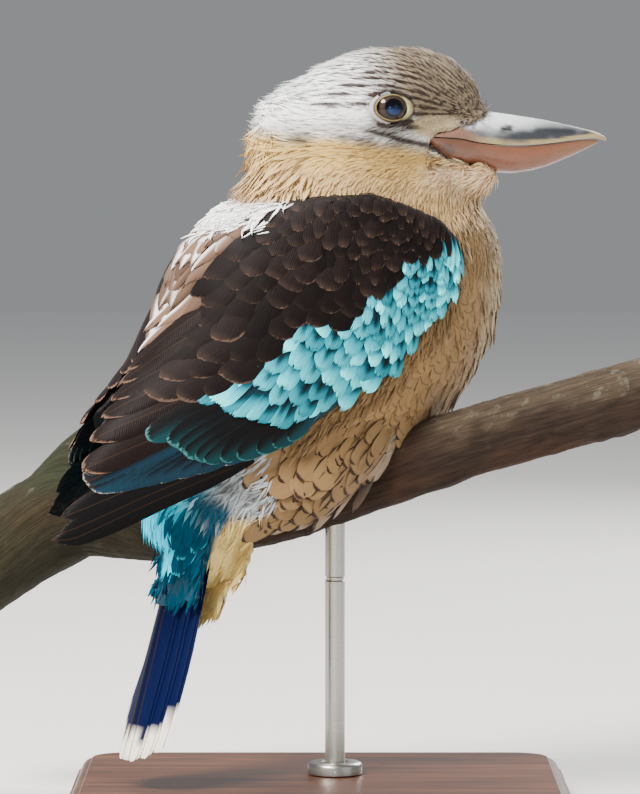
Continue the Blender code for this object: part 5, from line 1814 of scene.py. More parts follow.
@dataclass
class Tail:
    """Six pairs of tail feathers, and the coverts over and under their roots."""

    pairs: int = 6
    half: float = 6.0
    step: float = 0.62
    UPPER_PAD = ((-34, 10, 3, -3), (-22, 16, 6.5, -3), (-5, 19, 6.3, -2), (12, 17, 4.6, 0), (24, 11, 3, 1),
                 (40, 8, 2, 0.6))
    LOWER_PAD = ((-18, 17, -3, -27), (-4, 18, -2, -25), (8, 16, -2, -21), (18, 11, -2, -16), (25, 5, -3, -11),
                 (40, 4, -3, -8))

    def __post_init__(self) -> None:
        """Lays out the tail's surface."""
        self.surface = TailSurface()

    def pad(self, rows: tuple, belly: bool) -> Place:
        """The surface of a pad of coverts, over the tail's root or under it."""

        def spot(along: Array, across: Array) -> Array:
            """Points of the pad."""
            half, high, low = (along_rows(rows, along, k) for k in (1, 2, 3))
            bulge = 0.45 + 0.55 * (1 - np.clip(across / half, -1, 1) ** 2)
            height = high - (high - low) * bulge if belly else low + (high - low) * bulge
            base = self.surface.at(along, across)[0]
            lift = np.stack((self.surface.above[0] * height, 0 * height, self.surface.above[1] * height),
                            axis=-1)
            return base + lift

        def at(along: Array, across: Array) -> tuple[Array, Array]:
            """Points and normals of the pad."""
            down = spot(along + 1.5, across) - spot(along - 1.5, across)
            over = spot(along, across + 1.5) - spot(along, across - 1.5)
            normal = unit(np.cross(down, over))
            up = np.array((self.surface.above[0], 0, self.surface.above[1])) * (-1 if belly else 1)
            return spot(along, across), normal * np.sign(normal @ up)[..., None]

        return at

    def rectrices(self) -> list[Quill]:
        """The long tail feathers."""
        made = []
        for side in (-1, 1):
            for k in range(self.pairs):
                start, end = side * (1.0 + 1.6 * k), side * (2.8 + 5.6 * (k // 2) + 1.1 * (k % 2))
                tip = self.surface.length - 1.25 * k * (0.6 + 0.12 * k)
                length = tip + 12
                lean = -math.degrees(math.atan2(end - start, length))
                level = 1.1 - self.step * k - (0.3 if side > 0 else 0)
                made.append(Quill((tip, end), length, self.half, lean, (level, level),
                                  rectrix_mark(k, side < 0), 5.0, 0.4, 0.0, 0.03))
        return made

    def rows(self, tiers: tuple, marks: tuple[Mark, ...], blunt: float, seed: int) -> list[Quill]:
        """Rows of coverts.

        Args:
            tiers: count, place of the tips, reach aside, length and half width of each row.
            marks: the marks of each row.
            blunt: how square the ends are.
            seed: for the small differences.

        Returns:
            The feathers.
        """
        draw = np.random.default_rng(seed)
        made = []
        for row, ((count, tip, reach, length, half), mark) in enumerate(zip(tiers, marks)):
            for i in range(count):
                across = reach * (2 * i / (count - 1) - 1) + draw.uniform(-0.8, 0.8)
                end = tip - 4 * (across / max(reach, 1)) ** 2 + draw.uniform(-1.5, 1.5)
                if seed == 31:
                    end += (0.7 if row > 1 else 0.2) * min(across, 0)
                strand = seed == 31 and row < 2 and abs(across) < 4
                # On the bird's right the coverts take the deeper blue: partly their own colour, partly painted
                # shade where the wing would shade them.
                shaded = seed == 31 and 1 < row < 6 and across < -5
                made.append(Quill((end, across), length, 1.6 if strand else half, 0.8 * across,
                                  (-0.4, 0.3 + 0.22 * row),
                                  marks[-1] if strand else marks[0] if shaded else mark, blunt, 1.8, 0.0,
                                  0.12, chance=float(draw.random())))
        return made

    def build(self, finish: bpy.types.Material, soft: bpy.types.Material) -> None:
        """Builds tail and coverts.

        Args:
            finish: of the tail feathers.
            soft: of the coverts.
        """
        hand_over(QuillSheet(self.surface.at, 0.45).build("tail_feathers", self.rectrices(), finish),
                  "blue_feather", "tail")
        azure = flat_mark(Shade.AZURE, Shade.AZURE, 0.0)
        blue = flat_mark(Shade.RUMP_BLUE, Shade.AZURE_COVERT, 0.05)
        upper = self.rows(((9, 24, 9, 22, 3.9), (9, 17, 11, 20, 3.9), (17, 10, 13, 22, 1.7),
                           (19, 4, 14, 20, 1.6), (21, -2, 15, 18, 1.6), (21, -8, 16, 17, 1.6),
                           (21, -15, 15, 15, 1.6)), (blue, blue, azure, azure, azure, azure, azure), 1.8, 31)
        hand_over(QuillSheet(self.pad(self.UPPER_PAD, False), 0.3, 9).build("uppertail_plumes", upper, soft),
                  "azure_feather")
        ochre = flat_mark(Shade.OCHRE, Shade.IVORY, 0.0)
        lower = self.rows(((3, 22, 1.0, 26, 2.2), (5, 18, 2.6, 26, 2.4), (7, 12, 5, 24, 2.8),
                           (9, 6, 8, 22, 3.0), (11, 0, 10, 20, 3.0)), (ochre,) * 5, 1.6, 32)
        hand_over(QuillSheet(self.pad(self.LOWER_PAD, True), 0.3, 9).build("undertail_plumes", lower, soft),
                  "cream_coat")


# Head fittings


@dataclass
class Bill:
    """The two halves of the bill. Rows give distance ahead, top, underside and half width."""

    UPPER = (
        (27.0, 271.8, 269.9, 23.0), (33.0, 273.6, 269.7, 20.6), (41.0, 277.0, 269.2, 16.9),
        (48.0, 280.0, 267.9, 14.0), (55.0, 280.2, 267.1, 12.0), (61.5, 279.4, 266.7, 10.6),
        (68.0, 278.5, 266.7, 9.5), (78.0, 277.0, 267.3, 7.6), (88.5, 274.8, 268.6, 5.3),
        (97.0, 272.8, 269.4, 3.2), (101.5, 271.3, 269.3, 1.9), (104.3, 269.6, 268.6, 0.6),
    )
    LOWER = (
        (27.0, 269.5, 267.6, 22.6), (33.0, 269.3, 262.0, 20.4), (41.0, 268.8, 259.4, 16.7),
        (48.0, 267.5, 258.3, 13.7), (55.0, 266.7, 256.6, 11.8), (61.5, 266.2, 255.5, 10.2),
        (68.0, 266.2, 255.7, 9.0), (78.0, 266.9, 257.8, 7.1), (88.5, 268.2, 261.8, 4.8),
        (96.0, 268.9, 265.2, 2.9), (100.5, 268.9, 267.4, 1.3),
    )
    NOSTRIL = (61.5, 9.4, 273.2)
    NOSTRIL_SIZE = (3.4, 1.2)
    stations: int = 130
    sides: int = 64

    def rings(self, rows: tuple, upper: bool) -> Array:
        """Rings of the upper or the lower half, in the head's frame."""
        table = smooth_line(rows, self.stations)
        angle = circle(self.sides)
        c, s = np.cos(angle), np.sin(angle)
        ahead, top, under, half = (table[:, k, None] for k in range(4))
        bend = np.maximum(s, 0) ** 0.92 if upper else np.maximum(-s, 0) ** 0.85
        z = under + (top - under) * bend if upper else top - (top - under) * bend
        fuller = 0.8 if upper else 0.8 - 0.4 * smoothstep(56, 40, ahead) * (s < 0)
        y = half * np.sign(c) * np.abs(c) ** fuller
        return np.stack((ahead + 0 * y, y, z + 0 * y), axis=-1)

    def upper_tint(self, grid: Array, under: Array) -> Array:
        """Slate horn with a painted highlight, a pale sheen along the top that is strongest at the base of the
        ridge, and flesh along the cutting edge.
        """
        points = grid.reshape(-1, 3)
        x, _, z = points.T
        rise = z - np.repeat(under, self.sides)
        height = rise / np.repeat(grid[..., 2].max(axis=1) - under, self.sides)
        mottle = noise(points * (0.4, 1, 1), 2.2, 2)
        start = np.interp(x, (48, 56, 66, 82, 100), (0.1, 0.15, 0.28, 0.55, 0.75))
        # Painted highlight: a pale sheen on the top of the upper half, strongest towards its base.
        painted_sheen = smoothstep(start, start + 0.5, height + 0.12 * mottle) * (0.3 + 0.55 * smoothstep(92, 56, x))
        colour = mixed(linear("#2b2d33"), linear("#e3e8ea"), painted_sheen)
        colour = mixed(colour, linear("#6d6670"), 0.5 * smoothstep(0.2, 0.9, mottle) * (1 - painted_sheen))
        band = np.interp(x, (27, 38, 46, 60, 80, 98), (6.5, 5.0, 2.6, 1.5, 1.2, 1.6))
        edge = smoothstep(band + 0.5, band - 0.3, rise + 0.3 * noise(points, 2.5, 7))
        brown = smoothstep(band + 3.0, band, rise) * smoothstep(56, 44, x)
        colour = mixed(colour, linear("#5e4338"), 0.8 * brown)
        pale = mixed(linear("#856353"), linear("#a19068"), smoothstep(42, 56, x))
        colour = mixed(colour, pale, edge)
        return mixed(colour, linear("#9e8b66"), smoothstep(95, 102, x))

    def lower_tint(self, grid: Array, top: Array) -> Array:
        """Flesh-coloured horn, darker along its upper edge and towards its underside, with a dusky patch by the
        gape.
        """
        x, _, z = grid.reshape(-1, 3).T
        drop = np.repeat(top, self.sides) - z
        flesh = mixed(linear("#754730"), linear("#7e482c"), smoothstep(44, 60, x))
        flesh = mixed(flesh, linear("#825534"), smoothstep(72, 98, x))
        flesh = mixed(flesh, linear("#66301c"), 0.5 * smoothstep(5, 11, drop))
        flesh = mixed(flesh, linear("#623f27"), 0.6 * smoothstep(0.7, 0.2, drop))
        points = grid.reshape(-1, 3)
        patch = smoothstep(1.25, 0.7,
                           np.hypot((x - 34) / 4.6, (z - 264.3) / 3.0) + 0.15 * noise(points, 1.1, 4))
        return mixed(flesh, linear("#453530"), 0.8 * patch * (0.75 + 0.25 * noise(points, 0.9, 6)))

    def half_bill(self, name: str, rows: tuple, upper: bool, finish: bpy.types.Material) -> bpy.types.Object:
        """Builds one half.

        Args:
            name: the piece's name.
            rows: its table.
            upper: whether it is the upper half.
            finish: its material.

        Returns:
            The object.
        """
        grid = self.rings(rows, upper)
        table = smooth_line(rows, self.stations)
        if upper:
            tint = self.upper_tint(grid, table[:, 2])
            x, _, z = self.NOSTRIL
            size = self.NOSTRIL_SIZE
            away = np.hypot((grid[..., 0] - x) / size[0],
                            (grid[..., 2] - z - 0.12 * (grid[..., 0] - x)) / size[1])
            pit = smoothstep(1.25, 0.5, away) * (np.abs(grid[..., 1]) > 3)
            grid[..., 1] -= np.sign(grid[..., 1]) * 1.3 * pit
            tint = mixed(tint, linear("#0d0c0d"), 0.95 * pit.reshape(-1))
        else:
            tint = self.lower_tint(grid, table[:, 1])
        points = grid.reshape(-1, 3)
        ridges = 0.07 * noise(points * (0.25, 1, 1), 0.9, 11)
        points = points + unit(points - (60, 0, 268)) * ridges[:, None]
        obj = mesh_piece(name, bird_to_world(head_to_bird(points)), ring_faces(self.stations, self.sides))
        give(obj.data, "Tint", tint)
        give(obj.data, "Span", np.column_stack((points[:, 1], points[:, 0], points[:, 2])))
        obj.data.materials.append(finish)
        obj.data.set_sharp_from_angle(angle=math.radians(50))
        return face_out(obj)

    def build(self) -> None:
        """Builds both halves."""
        finish = Horn("bill_horn_worn").material()
        hand_over(self.half_bill("upper_bill", self.UPPER, True, finish), "bill_horn", "bill_upper")
        hand_over(self.half_bill("lower_bill", self.LOWER, False, finish), "bill_flesh", "bill_lower")


@dataclass
class Eye:
    """An eyeball and its lids, in the head's frame."""

    side: int
    name: str
    centre: tuple[float, float, float] = (9.6, 25.6, 281.0)
    radius: float = 7.5
    lead: float = math.radians(9.0)
    opening: tuple[float, float] = (6.4, 4.9)
    outside: tuple[float, float] = (8.2, 6.1)
    corner: float = 1.8

    def __post_init__(self) -> None:
        """Works out the eye's axis and the directions across it."""
        x, y, z = self.centre
        self.middle = head_to_bird(np.array((x, self.side * y, z)))
        lead = self.lead
        axis = unit(np.array((math.sin(lead), self.side * math.cos(lead), 0.04)))
        ahead = unit(np.array((math.cos(lead), -self.side * math.sin(lead), 0.0)))
        self.axis, self.ahead = turned(axis, HEAD_TURN), turned(ahead, HEAD_TURN)
        self.up = np.cross(self.axis, self.ahead) * -self.side

    def spot(self, angle: Array, reach: Array, height: Array) -> Array:
        """Points round the eye's axis, in the bird's frame."""
        way = np.cos(angle)[..., None] * self.ahead + np.sin(angle)[..., None] * self.up
        return self.middle + way * np.asarray(reach)[..., None] + np.asarray(height)[..., None] * self.axis

    def ball(self, finish: bpy.types.Material) -> bpy.types.Object:
        """The eyeball, dark with a brown ring, and a painted reflection of the sky in blue on the lower part of
        the pupil.
        """
        tilt = np.radians(np.concatenate(([1.0], np.linspace(4, 112, 44))))
        angle = circle(72)
        reach = self.radius * np.sin(tilt)
        dome = self.radius * np.cos(tilt) + 0.45 * smoothstep(4.6, 0.0, reach)
        points = self.spot(angle[None, :] + 0 * tilt[:, None], reach[:, None] + 0 * angle,
                           dome[:, None] + 0 * angle)
        obj = mesh_piece(f"eyeball_{self.name}", bird_to_world(points.reshape(-1, 3)),
                         ring_faces(len(tilt), len(angle)))
        ring = np.repeat(reach, 72)
        # Painted reflection: the lower part of the pupil is painted blue, as the sky mirrored in the cornea,
        # and the brown ring is dimmed there too.
        low = smoothstep(1.2, -2.4, ring * np.tile(np.sin(angle), len(tilt)))
        colour = mixed(linear("#04050a"), linear("#16315f"), 0.9 * low)
        colour = mixed(colour, linear("#030303"), smoothstep(2.7, 3.1, ring))
        colour = mixed(colour, linear("#3b2f2a"), smoothstep(3.3, 4.2, ring) * (1 - 0.5 * low))
        colour = mixed(colour, linear("#0b0807"), smoothstep(5.0, 5.8, ring))
        give(obj.data, "Tint", colour)
        obj.data.materials.append(finish)
        return face_out(obj)

    def lids(self, skin: BVHTree, finish: bpy.types.Material) -> bpy.types.Object:
        """The ring of bare lids, creased and drawn to a pale corner ahead."""
        count = 120
        angle = circle(count)
        c, s = np.cos(angle), np.sin(angle)
        corner = self.corner * np.maximum(0, c) ** 6
        inside = 1 / np.hypot(c / self.opening[0], s / self.opening[1])
        outside = 1 / np.hypot(c / (self.outside[0] + corner), s / self.outside[1])
        start = bird_to_world(self.spot(angle, outside + 0.9, 0 * angle + 30))
        ray = Vector(-turned(self.axis, BODY_YAW))
        hits = [skin.ray_cast(Vector(p), ray)[0] for p in start]
        middle = bird_to_world(self.middle)
        rim = np.array([(np.array(hit) - middle) @ -np.array(ray) / MM if hit else 3.0 for hit in hits])
        rim = sum(np.roll(rim, k) for k in range(-3, 4)) / 7
        crest = np.sqrt(self.radius**2 - (inside - 0.2) ** 2)
        width = outside - inside
        rings = []
        for reach, height in (
            (inside - 0.35, crest - 0.5), (inside - 0.1, crest + 0.12), (inside + 0.10 * width, crest + 0.42),
            (inside + 0.30 * width, crest + 0.38), (inside + 0.42 * width, 0.8 * crest + 0.2 * rim + 0.18),
            (inside + 0.6 * width, 0.6 * crest + 0.4 * rim + 0.35), (inside + 0.85 * width, rim + 0.45),
            (outside + 0.3, rim + 0.1), (outside + 1.0, rim - 0.8), (outside + 0.6, rim - 2.2),
            (inside + 0.5 * width, rim - 2.2),
        ):
            rings.append(self.spot(angle, reach, height))
        grid = np.stack(rings, axis=1)
        sides = grid.shape[1]
        points = grid.reshape(-1, 3)
        crease = 0.07 * noise(points, 0.8, 5) + 0.05 * noise(points, 0.4, 6)
        points = points + self.axis * crease[:, None]
        obj = mesh_piece(f"lids_{self.name}", bird_to_world(points), ring_faces(count, sides, closed=True))
        inner = np.tile(np.linspace(0, 1, sides), count)
        front = np.repeat(smoothstep(0.55, 0.98, c), sides)
        colour = mixed(linear("#84743f"), linear("#2e231b"), smoothstep(0.26, 0.42, inner))
        colour = mixed(colour, linear("#2a1f18"), smoothstep(0.14, 0.05, inner))
        behind = np.repeat(smoothstep(0.1, -0.5, c), sides)
        colour = mixed(colour, linear("#b0a79f"), behind * smoothstep(0.48, 0.6, inner))
        colour = mixed(colour, linear("#cfc58f"), 0.9 * front * smoothstep(0.75, 0.5, inner) * (inner > 0.12))
        give(obj.data, "Tint", colour)
        obj.data.materials.append(finish)
        smooth = obj.modifiers.new("smooth", "SUBSURF")
        smooth.levels = smooth.render_levels = 1
        made = evaluated(obj)
        obj.modifiers.clear()
        obj.data = made
        return face_out(obj)

    def build(self, skin: BVHTree, glass: bpy.types.Material, hide: bpy.types.Material) -> None:
        """Builds eyeball and lids."""
        hand_over(self.ball(glass), "eye_glass", f"eye_{self.name}")
        hand_over(self.lids(skin, hide), "eyelid_skin", f"eyelids_{self.name}")


@dataclass(frozen=True)
class EyeGlass:
    """A glass eye: painted dark behind a clear polished front."""

    name: str = "glass_eye"

    def material(self) -> bpy.types.Material:
        """Builds the material."""
        made, add, shader = blank(self.name)
        tint = add("ShaderNodeAttribute", attribute_name="Tint")
        place = add("ShaderNodeTexCoord").outputs["Object"]
        fibres = add("ShaderNodeTexNoise", {"Vector": place, "Scale": 1400.0, "Detail": 2.0})
        value = add("ShaderNodeMapRange", {0: fibres, 3: 0.8, 4: 1.2})
        colour = add("ShaderNodeHueSaturation", {"Value": value, "Color": tint.outputs["Color"]})
        feed(shader, {"Base Color": colour, "Roughness": 0.3, "Specular IOR Level": 0.0, "Coat Weight": 1.0,
                      "Coat Roughness": 0.02, "Coat IOR": 1.33})
        return made


@dataclass(frozen=True)
class Bark:
    """Weathered bark: matt, finely cracked along the limb, with pale lichen where Tint's alpha allows it."""

    name: str = "weathered_bark"
    crack_spacing: float = 3.2  # millimetres
    roughness: float = 0.88

    def material(self) -> bpy.types.Material:
        """Builds the material."""
        made, add, shader = blank(self.name)
        tint = add("ShaderNodeAttribute", attribute_name="Tint")
        span = add("ShaderNodeAttribute", attribute_name="Span").outputs["Vector"]
        grain = add("ShaderNodeVectorMath", {0: span, 1: (0.08, 0.8, 0.8)}, operation="MULTIPLY")
        fibre = add("ShaderNodeTexNoise", {"Vector": grain, "Scale": 1.0, "Detail": 6.0, "Roughness": 0.7})
        plates = add("ShaderNodeVectorMath",
                          {0: span, 1: (0.09 / self.crack_spacing,) + (1 / self.crack_spacing,) * 2},
                          operation="MULTIPLY")
        wobble = add("ShaderNodeVectorMath", {0: fibre.outputs["Color"], 1: (0.7, 0.7, 0.7), 2: plates},
                     operation="MULTIPLY_ADD")
        cracks = add("ShaderNodeTexVoronoi", {"Vector": wobble, "Scale": 1.0}, feature="DISTANCE_TO_EDGE")
        dark = add("ShaderNodeMapRange", {0: cracks, 1: 0.0, 2: 0.12, 3: 0.72, 4: 1.0})
        value = add("ShaderNodeMapRange", {0: fibre, 1: 0.3, 2: 0.7, 3: 0.6, 4: 1.35})
        value = add("ShaderNodeMath", {0: value, 1: dark}, operation="MULTIPLY")
        colour = add("ShaderNodeHueSaturation", {"Value": value, "Color": tint.outputs["Color"]})
        patches = add("ShaderNodeTexNoise", {"Vector": span, "Scale": 0.14, "Detail": 5.0, "Roughness": 0.6})
        lichen = add("ShaderNodeMapRange", {0: patches, 1: 0.56, 2: 0.62})
        lichen = add("ShaderNodeMath", {0: lichen, 1: tint.outputs["Alpha"]}, operation="MULTIPLY")
        colour = add("ShaderNodeMix", {0: lichen, 6: colour, 7: rgba("#a7a391")}, data_type="RGBA")
        bump = add("ShaderNodeBump", {"Strength": 0.8, "Distance": 0.0009, "Height": value})
        feed(shader, {"Base Color": colour.outputs[2], "Normal": bump, "Roughness": self.roughness,
                      "Specular IOR Level": 0.25})
        return made


@dataclass(frozen=True)
class StainedWood:
    """Dark stained hardwood under satin lacquer, its grain along the base's long side."""

    name: str = "stained_satin_wood"

    def material(self) -> bpy.types.Material:
        """Builds the material."""
        made, add, shader = blank(self.name)
        place = add("ShaderNodeTexCoord").outputs["Object"]
        long = add("ShaderNodeVectorMath", {0: place, 1: (14.0, 160.0, 160.0)}, operation="MULTIPLY")
        rings = add("ShaderNodeTexNoise", {"Vector": long, "Scale": 1.0, "Detail": 5.0, "Distortion": 0.6})
        pores = add("ShaderNodeVectorMath", {0: place, 1: (180.0, 2600.0, 2600.0)}, operation="MULTIPLY")
        pores = add("ShaderNodeTexNoise", {"Vector": pores, "Scale": 1.0, "Detail": 2.0})
        mixed_grain = add("ShaderNodeMath", {0: pores, 1: 0.35, 2: rings}, operation="MULTIPLY_ADD")
        ramp = add("ShaderNodeMapRange", {0: mixed_grain, 1: 0.45, 2: 0.9})
        colour = add("ShaderNodeMix", {0: ramp, 6: rgba("#3a2015"), 7: rgba("#70452c")}, data_type="RGBA")
        bump = add("ShaderNodeBump", {"Strength": 0.12, "Distance": 0.0002, "Height": pores})
        feed(shader, {"Base Color": colour.outputs[2], "Normal": bump, "Roughness": 0.34, "Coat Weight": 0.3,
                      "Coat Roughness": 0.25})
        return made


@dataclass(frozen=True)
class BrushedSteel:
    """Turned steel with fine rings from the lathe."""

    name: str = "turned_steel"

    def material(self) -> bpy.types.Material:
        """Builds the material."""
        made, add, shader = blank(self.name)
        place = add("ShaderNodeTexCoord").outputs["Object"]
        rings = add("ShaderNodeVectorMath", {0: place, 1: (60.0, 60.0, 9000.0)}, operation="MULTIPLY")
        rings = add("ShaderNodeTexNoise", {"Vector": rings, "Scale": 1.0, "Detail": 3.0})
        dull = add("ShaderNodeMapRange", {0: rings, 1: 0.3, 2: 0.7, 3: 0.26, 4: 0.42})
        bump = add("ShaderNodeBump", {"Strength": 0.15, "Distance": 0.0001, "Height": rings})
        feed(shader, {"Roughness": dull, "Normal": bump, "Base Color": rgba("#b3b0aa"), "Metallic": 1.0})
        return made


@dataclass(frozen=True)
class PaleFloor:
    """A matt pale studio floor with a trace of unevenness, painted darker round the middle and lighter away
    from it as painted light and shade.
    """

    name: str = "studio_floor"

    def material(self) -> bpy.types.Material:
        """Builds the material."""
        made, add, shader = blank(self.name)
        place = add("ShaderNodeTexCoord").outputs["Object"]
        soft = add("ShaderNodeTexNoise", {"Vector": place, "Scale": 3.0, "Detail": 2.0})
        # Painted light and shade: the floor is darker round the middle and lighter towards its rim.
        away = add("ShaderNodeVectorMath", {0: place}, operation="LENGTH").outputs["Value"]
        far = add("ShaderNodeMapRange", {0: away, 1: 0.5, 2: 3.0}, interpolation_type="SMOOTHSTEP")
        share = add("ShaderNodeMath", {0: soft, 1: 0.15, 2: far}, operation="MULTIPLY_ADD")
        colour = add("ShaderNodeMix", {0: share, 6: rgba("#d3d1cd"), 7: rgba("#fbfaf9")}, data_type="RGBA")
        feed(shader, {"Base Color": colour.outputs[2], "Roughness": 0.9})
        return made


@dataclass(frozen=True)
class Toe:
    """A toe: heading on the perch in degrees, length and radius in millimetres."""

    name: str
    heading: float
    length: float
    radius: float


class Perch:
    """The cut branch with the stub of its fork."""

    LINE = (
        (-150, 43, 86, 19.5), (-131, 38, 99, 20), (-114, 34, 111.5, 20.8), (-98, 29.5, 119, 20.8),
        (-81, 24.5, 117.5, 19.2), (-64, 20, 116, 17.8), (-24, 9.4, 121.6, 16.2), (4, 2, 128.8, 14.9),
        (32, -5.6, 138.8, 14.3), (72, -16.3, 153.2, 14.0), (112, -27, 164.8, 14.4), (136, -33.5, 171.5, 14.2),
    )
    FORK = ((-108, 30, 118, 17), (-94, 33, 135, 15.8), (-78, 37, 149.5, 14.8), (-63, 41, 162, 14.2))

    def limb(self, name: str, knots: tuple, stations: int, steps: int, seed: int) -> bpy.types.Object:
        """A limb with the same swellings as its solid.

        Args:
            name: the part's name.
            knots: centres and radii.
            stations: rings to make.
            steps: rings of the solid, which pace the swellings.
            seed: the solid's seed.

        Returns:
            The limb.
        """
        phase = np.random.default_rng(seed).uniform(0, 2 * math.pi, 6)
        line = smooth_line(knots, stations)
        step = np.linspace(0, steps - 1, stations)[:, None]
        run = unit(np.gradient(line[:, :3], axis=0))
        across = unit(np.cross(np.array((0.0, 0.0, 1.0)), run))
        up = np.cross(run, across)
        angle = (circle(96))[None, :]
        swell = 0.022 * np.sin(2 * angle + 0.35 * step + phase[0])
        swell = swell + 0.018 * np.sin(3 * angle - 0.5 * step + phase[1])
        swell = swell + 0.022 * np.sin(0.9 * step + phase[2]) * np.sin(angle + phase[3])
        reach = line[:, 3:4] * (1 + swell)
        grid = line[:, None, :3] + across[:, None] * (reach * np.cos(angle))[..., None]
        grid = grid + up[:, None] * (reach * np.sin(angle))[..., None]
        return mesh_piece(name, grid.reshape(-1, 3) * MM, ring_faces(stations, 96))

    @classmethod
    def spot(cls, x: Array) -> tuple[Array, Array, Array, Array, Array]:
        """Centre, direction along, side, up and radius of the perch at places along X in millimetres."""
        rows = smooth_line(cls.LINE, 121)
        y, z, radius = (np.interp(x, rows[:, 0], rows[:, k]) for k in (1, 2, 3))
        ahead = [np.interp(x + 2, rows[:, 0], rows[:, k]) for k in (1, 2)]
        run = unit(np.stack((2 + 0 * x, ahead[0] - y, ahead[1] - z), axis=-1))
        side = unit(np.cross(np.array((0.0, 0.0, 1.0)), run))
        return np.stack((x, y, z), axis=-1), run, side, np.cross(run, side), radius

    def paint(self, points: Array, normals: Array) -> tuple[Array, Array]:
        """Colours, painted lighter on top as painted light, with the lichen's share as alpha, and lengthwise
        coordinates of the bark.

        Args:
            points: rows in millimetres.
            normals: the surface's directions outwards.

        Returns:
            Rows of colours and of coordinates.
        """
        x, _, z = points.T
        centre, run, side, up, radius = self.spot(x)
        offset = points - centre
        around = np.arctan2(np.sum(offset * side, axis=1), np.sum(offset * up, axis=1))
        forked = (np.sum(offset * up, axis=1) > radius * 1.25) & (x < -40)
        wander = 0.5 * noise(points, 16, 3) + 0.3 * noise(points, 5, 4)
        # Painted light: the bark is lighter where it faces up and darker, with redder patches, on its sides and
        # underside, as if lit from above. Moss and lichen also keep to the top.
        top = smoothstep(-0.1, 0.75, normals[:, 2] + wander)
        colour = mixed(linear("#2c1f16"), linear("#423629"), top)
        colour = mixed(colour, linear("#492e20"), 0.5 * smoothstep(0.1, 0.8, noise(points, 22, 9)) * (1 - top))
        moss = smoothstep(-40, -95, x + 30 * wander) * (0.55 + 0.4 * top)
        colour = mixed(colour, linear("#1f2410"), moss)
        ends = (np.abs(normals @ run.mean(axis=0)) > 0.93) & ((x > 132) | (x < -146))
        stub = (x > -68) & (z > 150) & forked
        cut = ends | (stub & (normals @ unit(np.array((15.0, 4.0, 12.5))) > 0.9))
        ring = np.where(stub, np.linalg.norm(points - np.array(self.FORK[-1][:3]), axis=1),
                        np.linalg.norm(offset - run * np.sum(offset * run, axis=1, keepdims=True), axis=1))
        wood = mixed(linear("#a58258"), linear("#6f5233"), smoothstep(0.3, 0.8,
                                                                      np.sin(ring * 3.4 + 0.6 * wander)))
        colour = mixed(colour, wood, cut)
        lichen = 0.75 * smoothstep(0.1, 0.7, wander + 0.5 * top) * (0.15 + 0.85 * moss) * (0.25 + 0.75 * top)
        lichen = np.where(cut, 0, lichen)
        along = np.where(forked, z * 1.2, x * 1.05)
        coordinates = np.column_stack((along, around * radius, 3 * np.cos(around)))
        return np.column_stack((colour, lichen)), coordinates

    def build(self, feet: BVHTree) -> None:
        """Builds the branch with its bark.

        Args:
            feet: the feet's solids, under which the bark keeps to the solid's surface.
        """
        parts = [self.limb("main_limb", self.LINE, 300, 24, 4), self.limb("fork", self.FORK, 70, 6, 9)]
        branch = fused("branch", parts, 1.0 * MM, soften=2)
        points, normals = points_of(branch.data) / MM, normals_of(branch.data)
        tint, span = self.paint(points, normals)
        flakes = noise(span * (0.22, 1.1, 1.1), 2.4, 5) + 0.6 * noise(points, 3.5, 8)
        relief = 0.30 * flakes + 0.45 * noise(points, 13, 6) - 0.35
        knots = noise(points, 30, 12) > 0.72
        near = np.array([feet.find_nearest(Vector(p))[3] for p in points * MM]) / MM
        relief = (relief + 0.5 * knots * noise(points, 4, 13)) * smoothstep(0.8, 5, near)
        set_points(branch.data, (points + normals * relief[:, None]) * MM)
        tint[:, :3] *= (0.86 + 0.3 * smoothstep(-0.7, 0.7, flakes))[:, None]
        give(branch.data, "Tint", tint)
        give(branch.data, "Span", span)
        branch.data.materials.append(Bark().material())
        hand_over(branch, "bark", "perch")


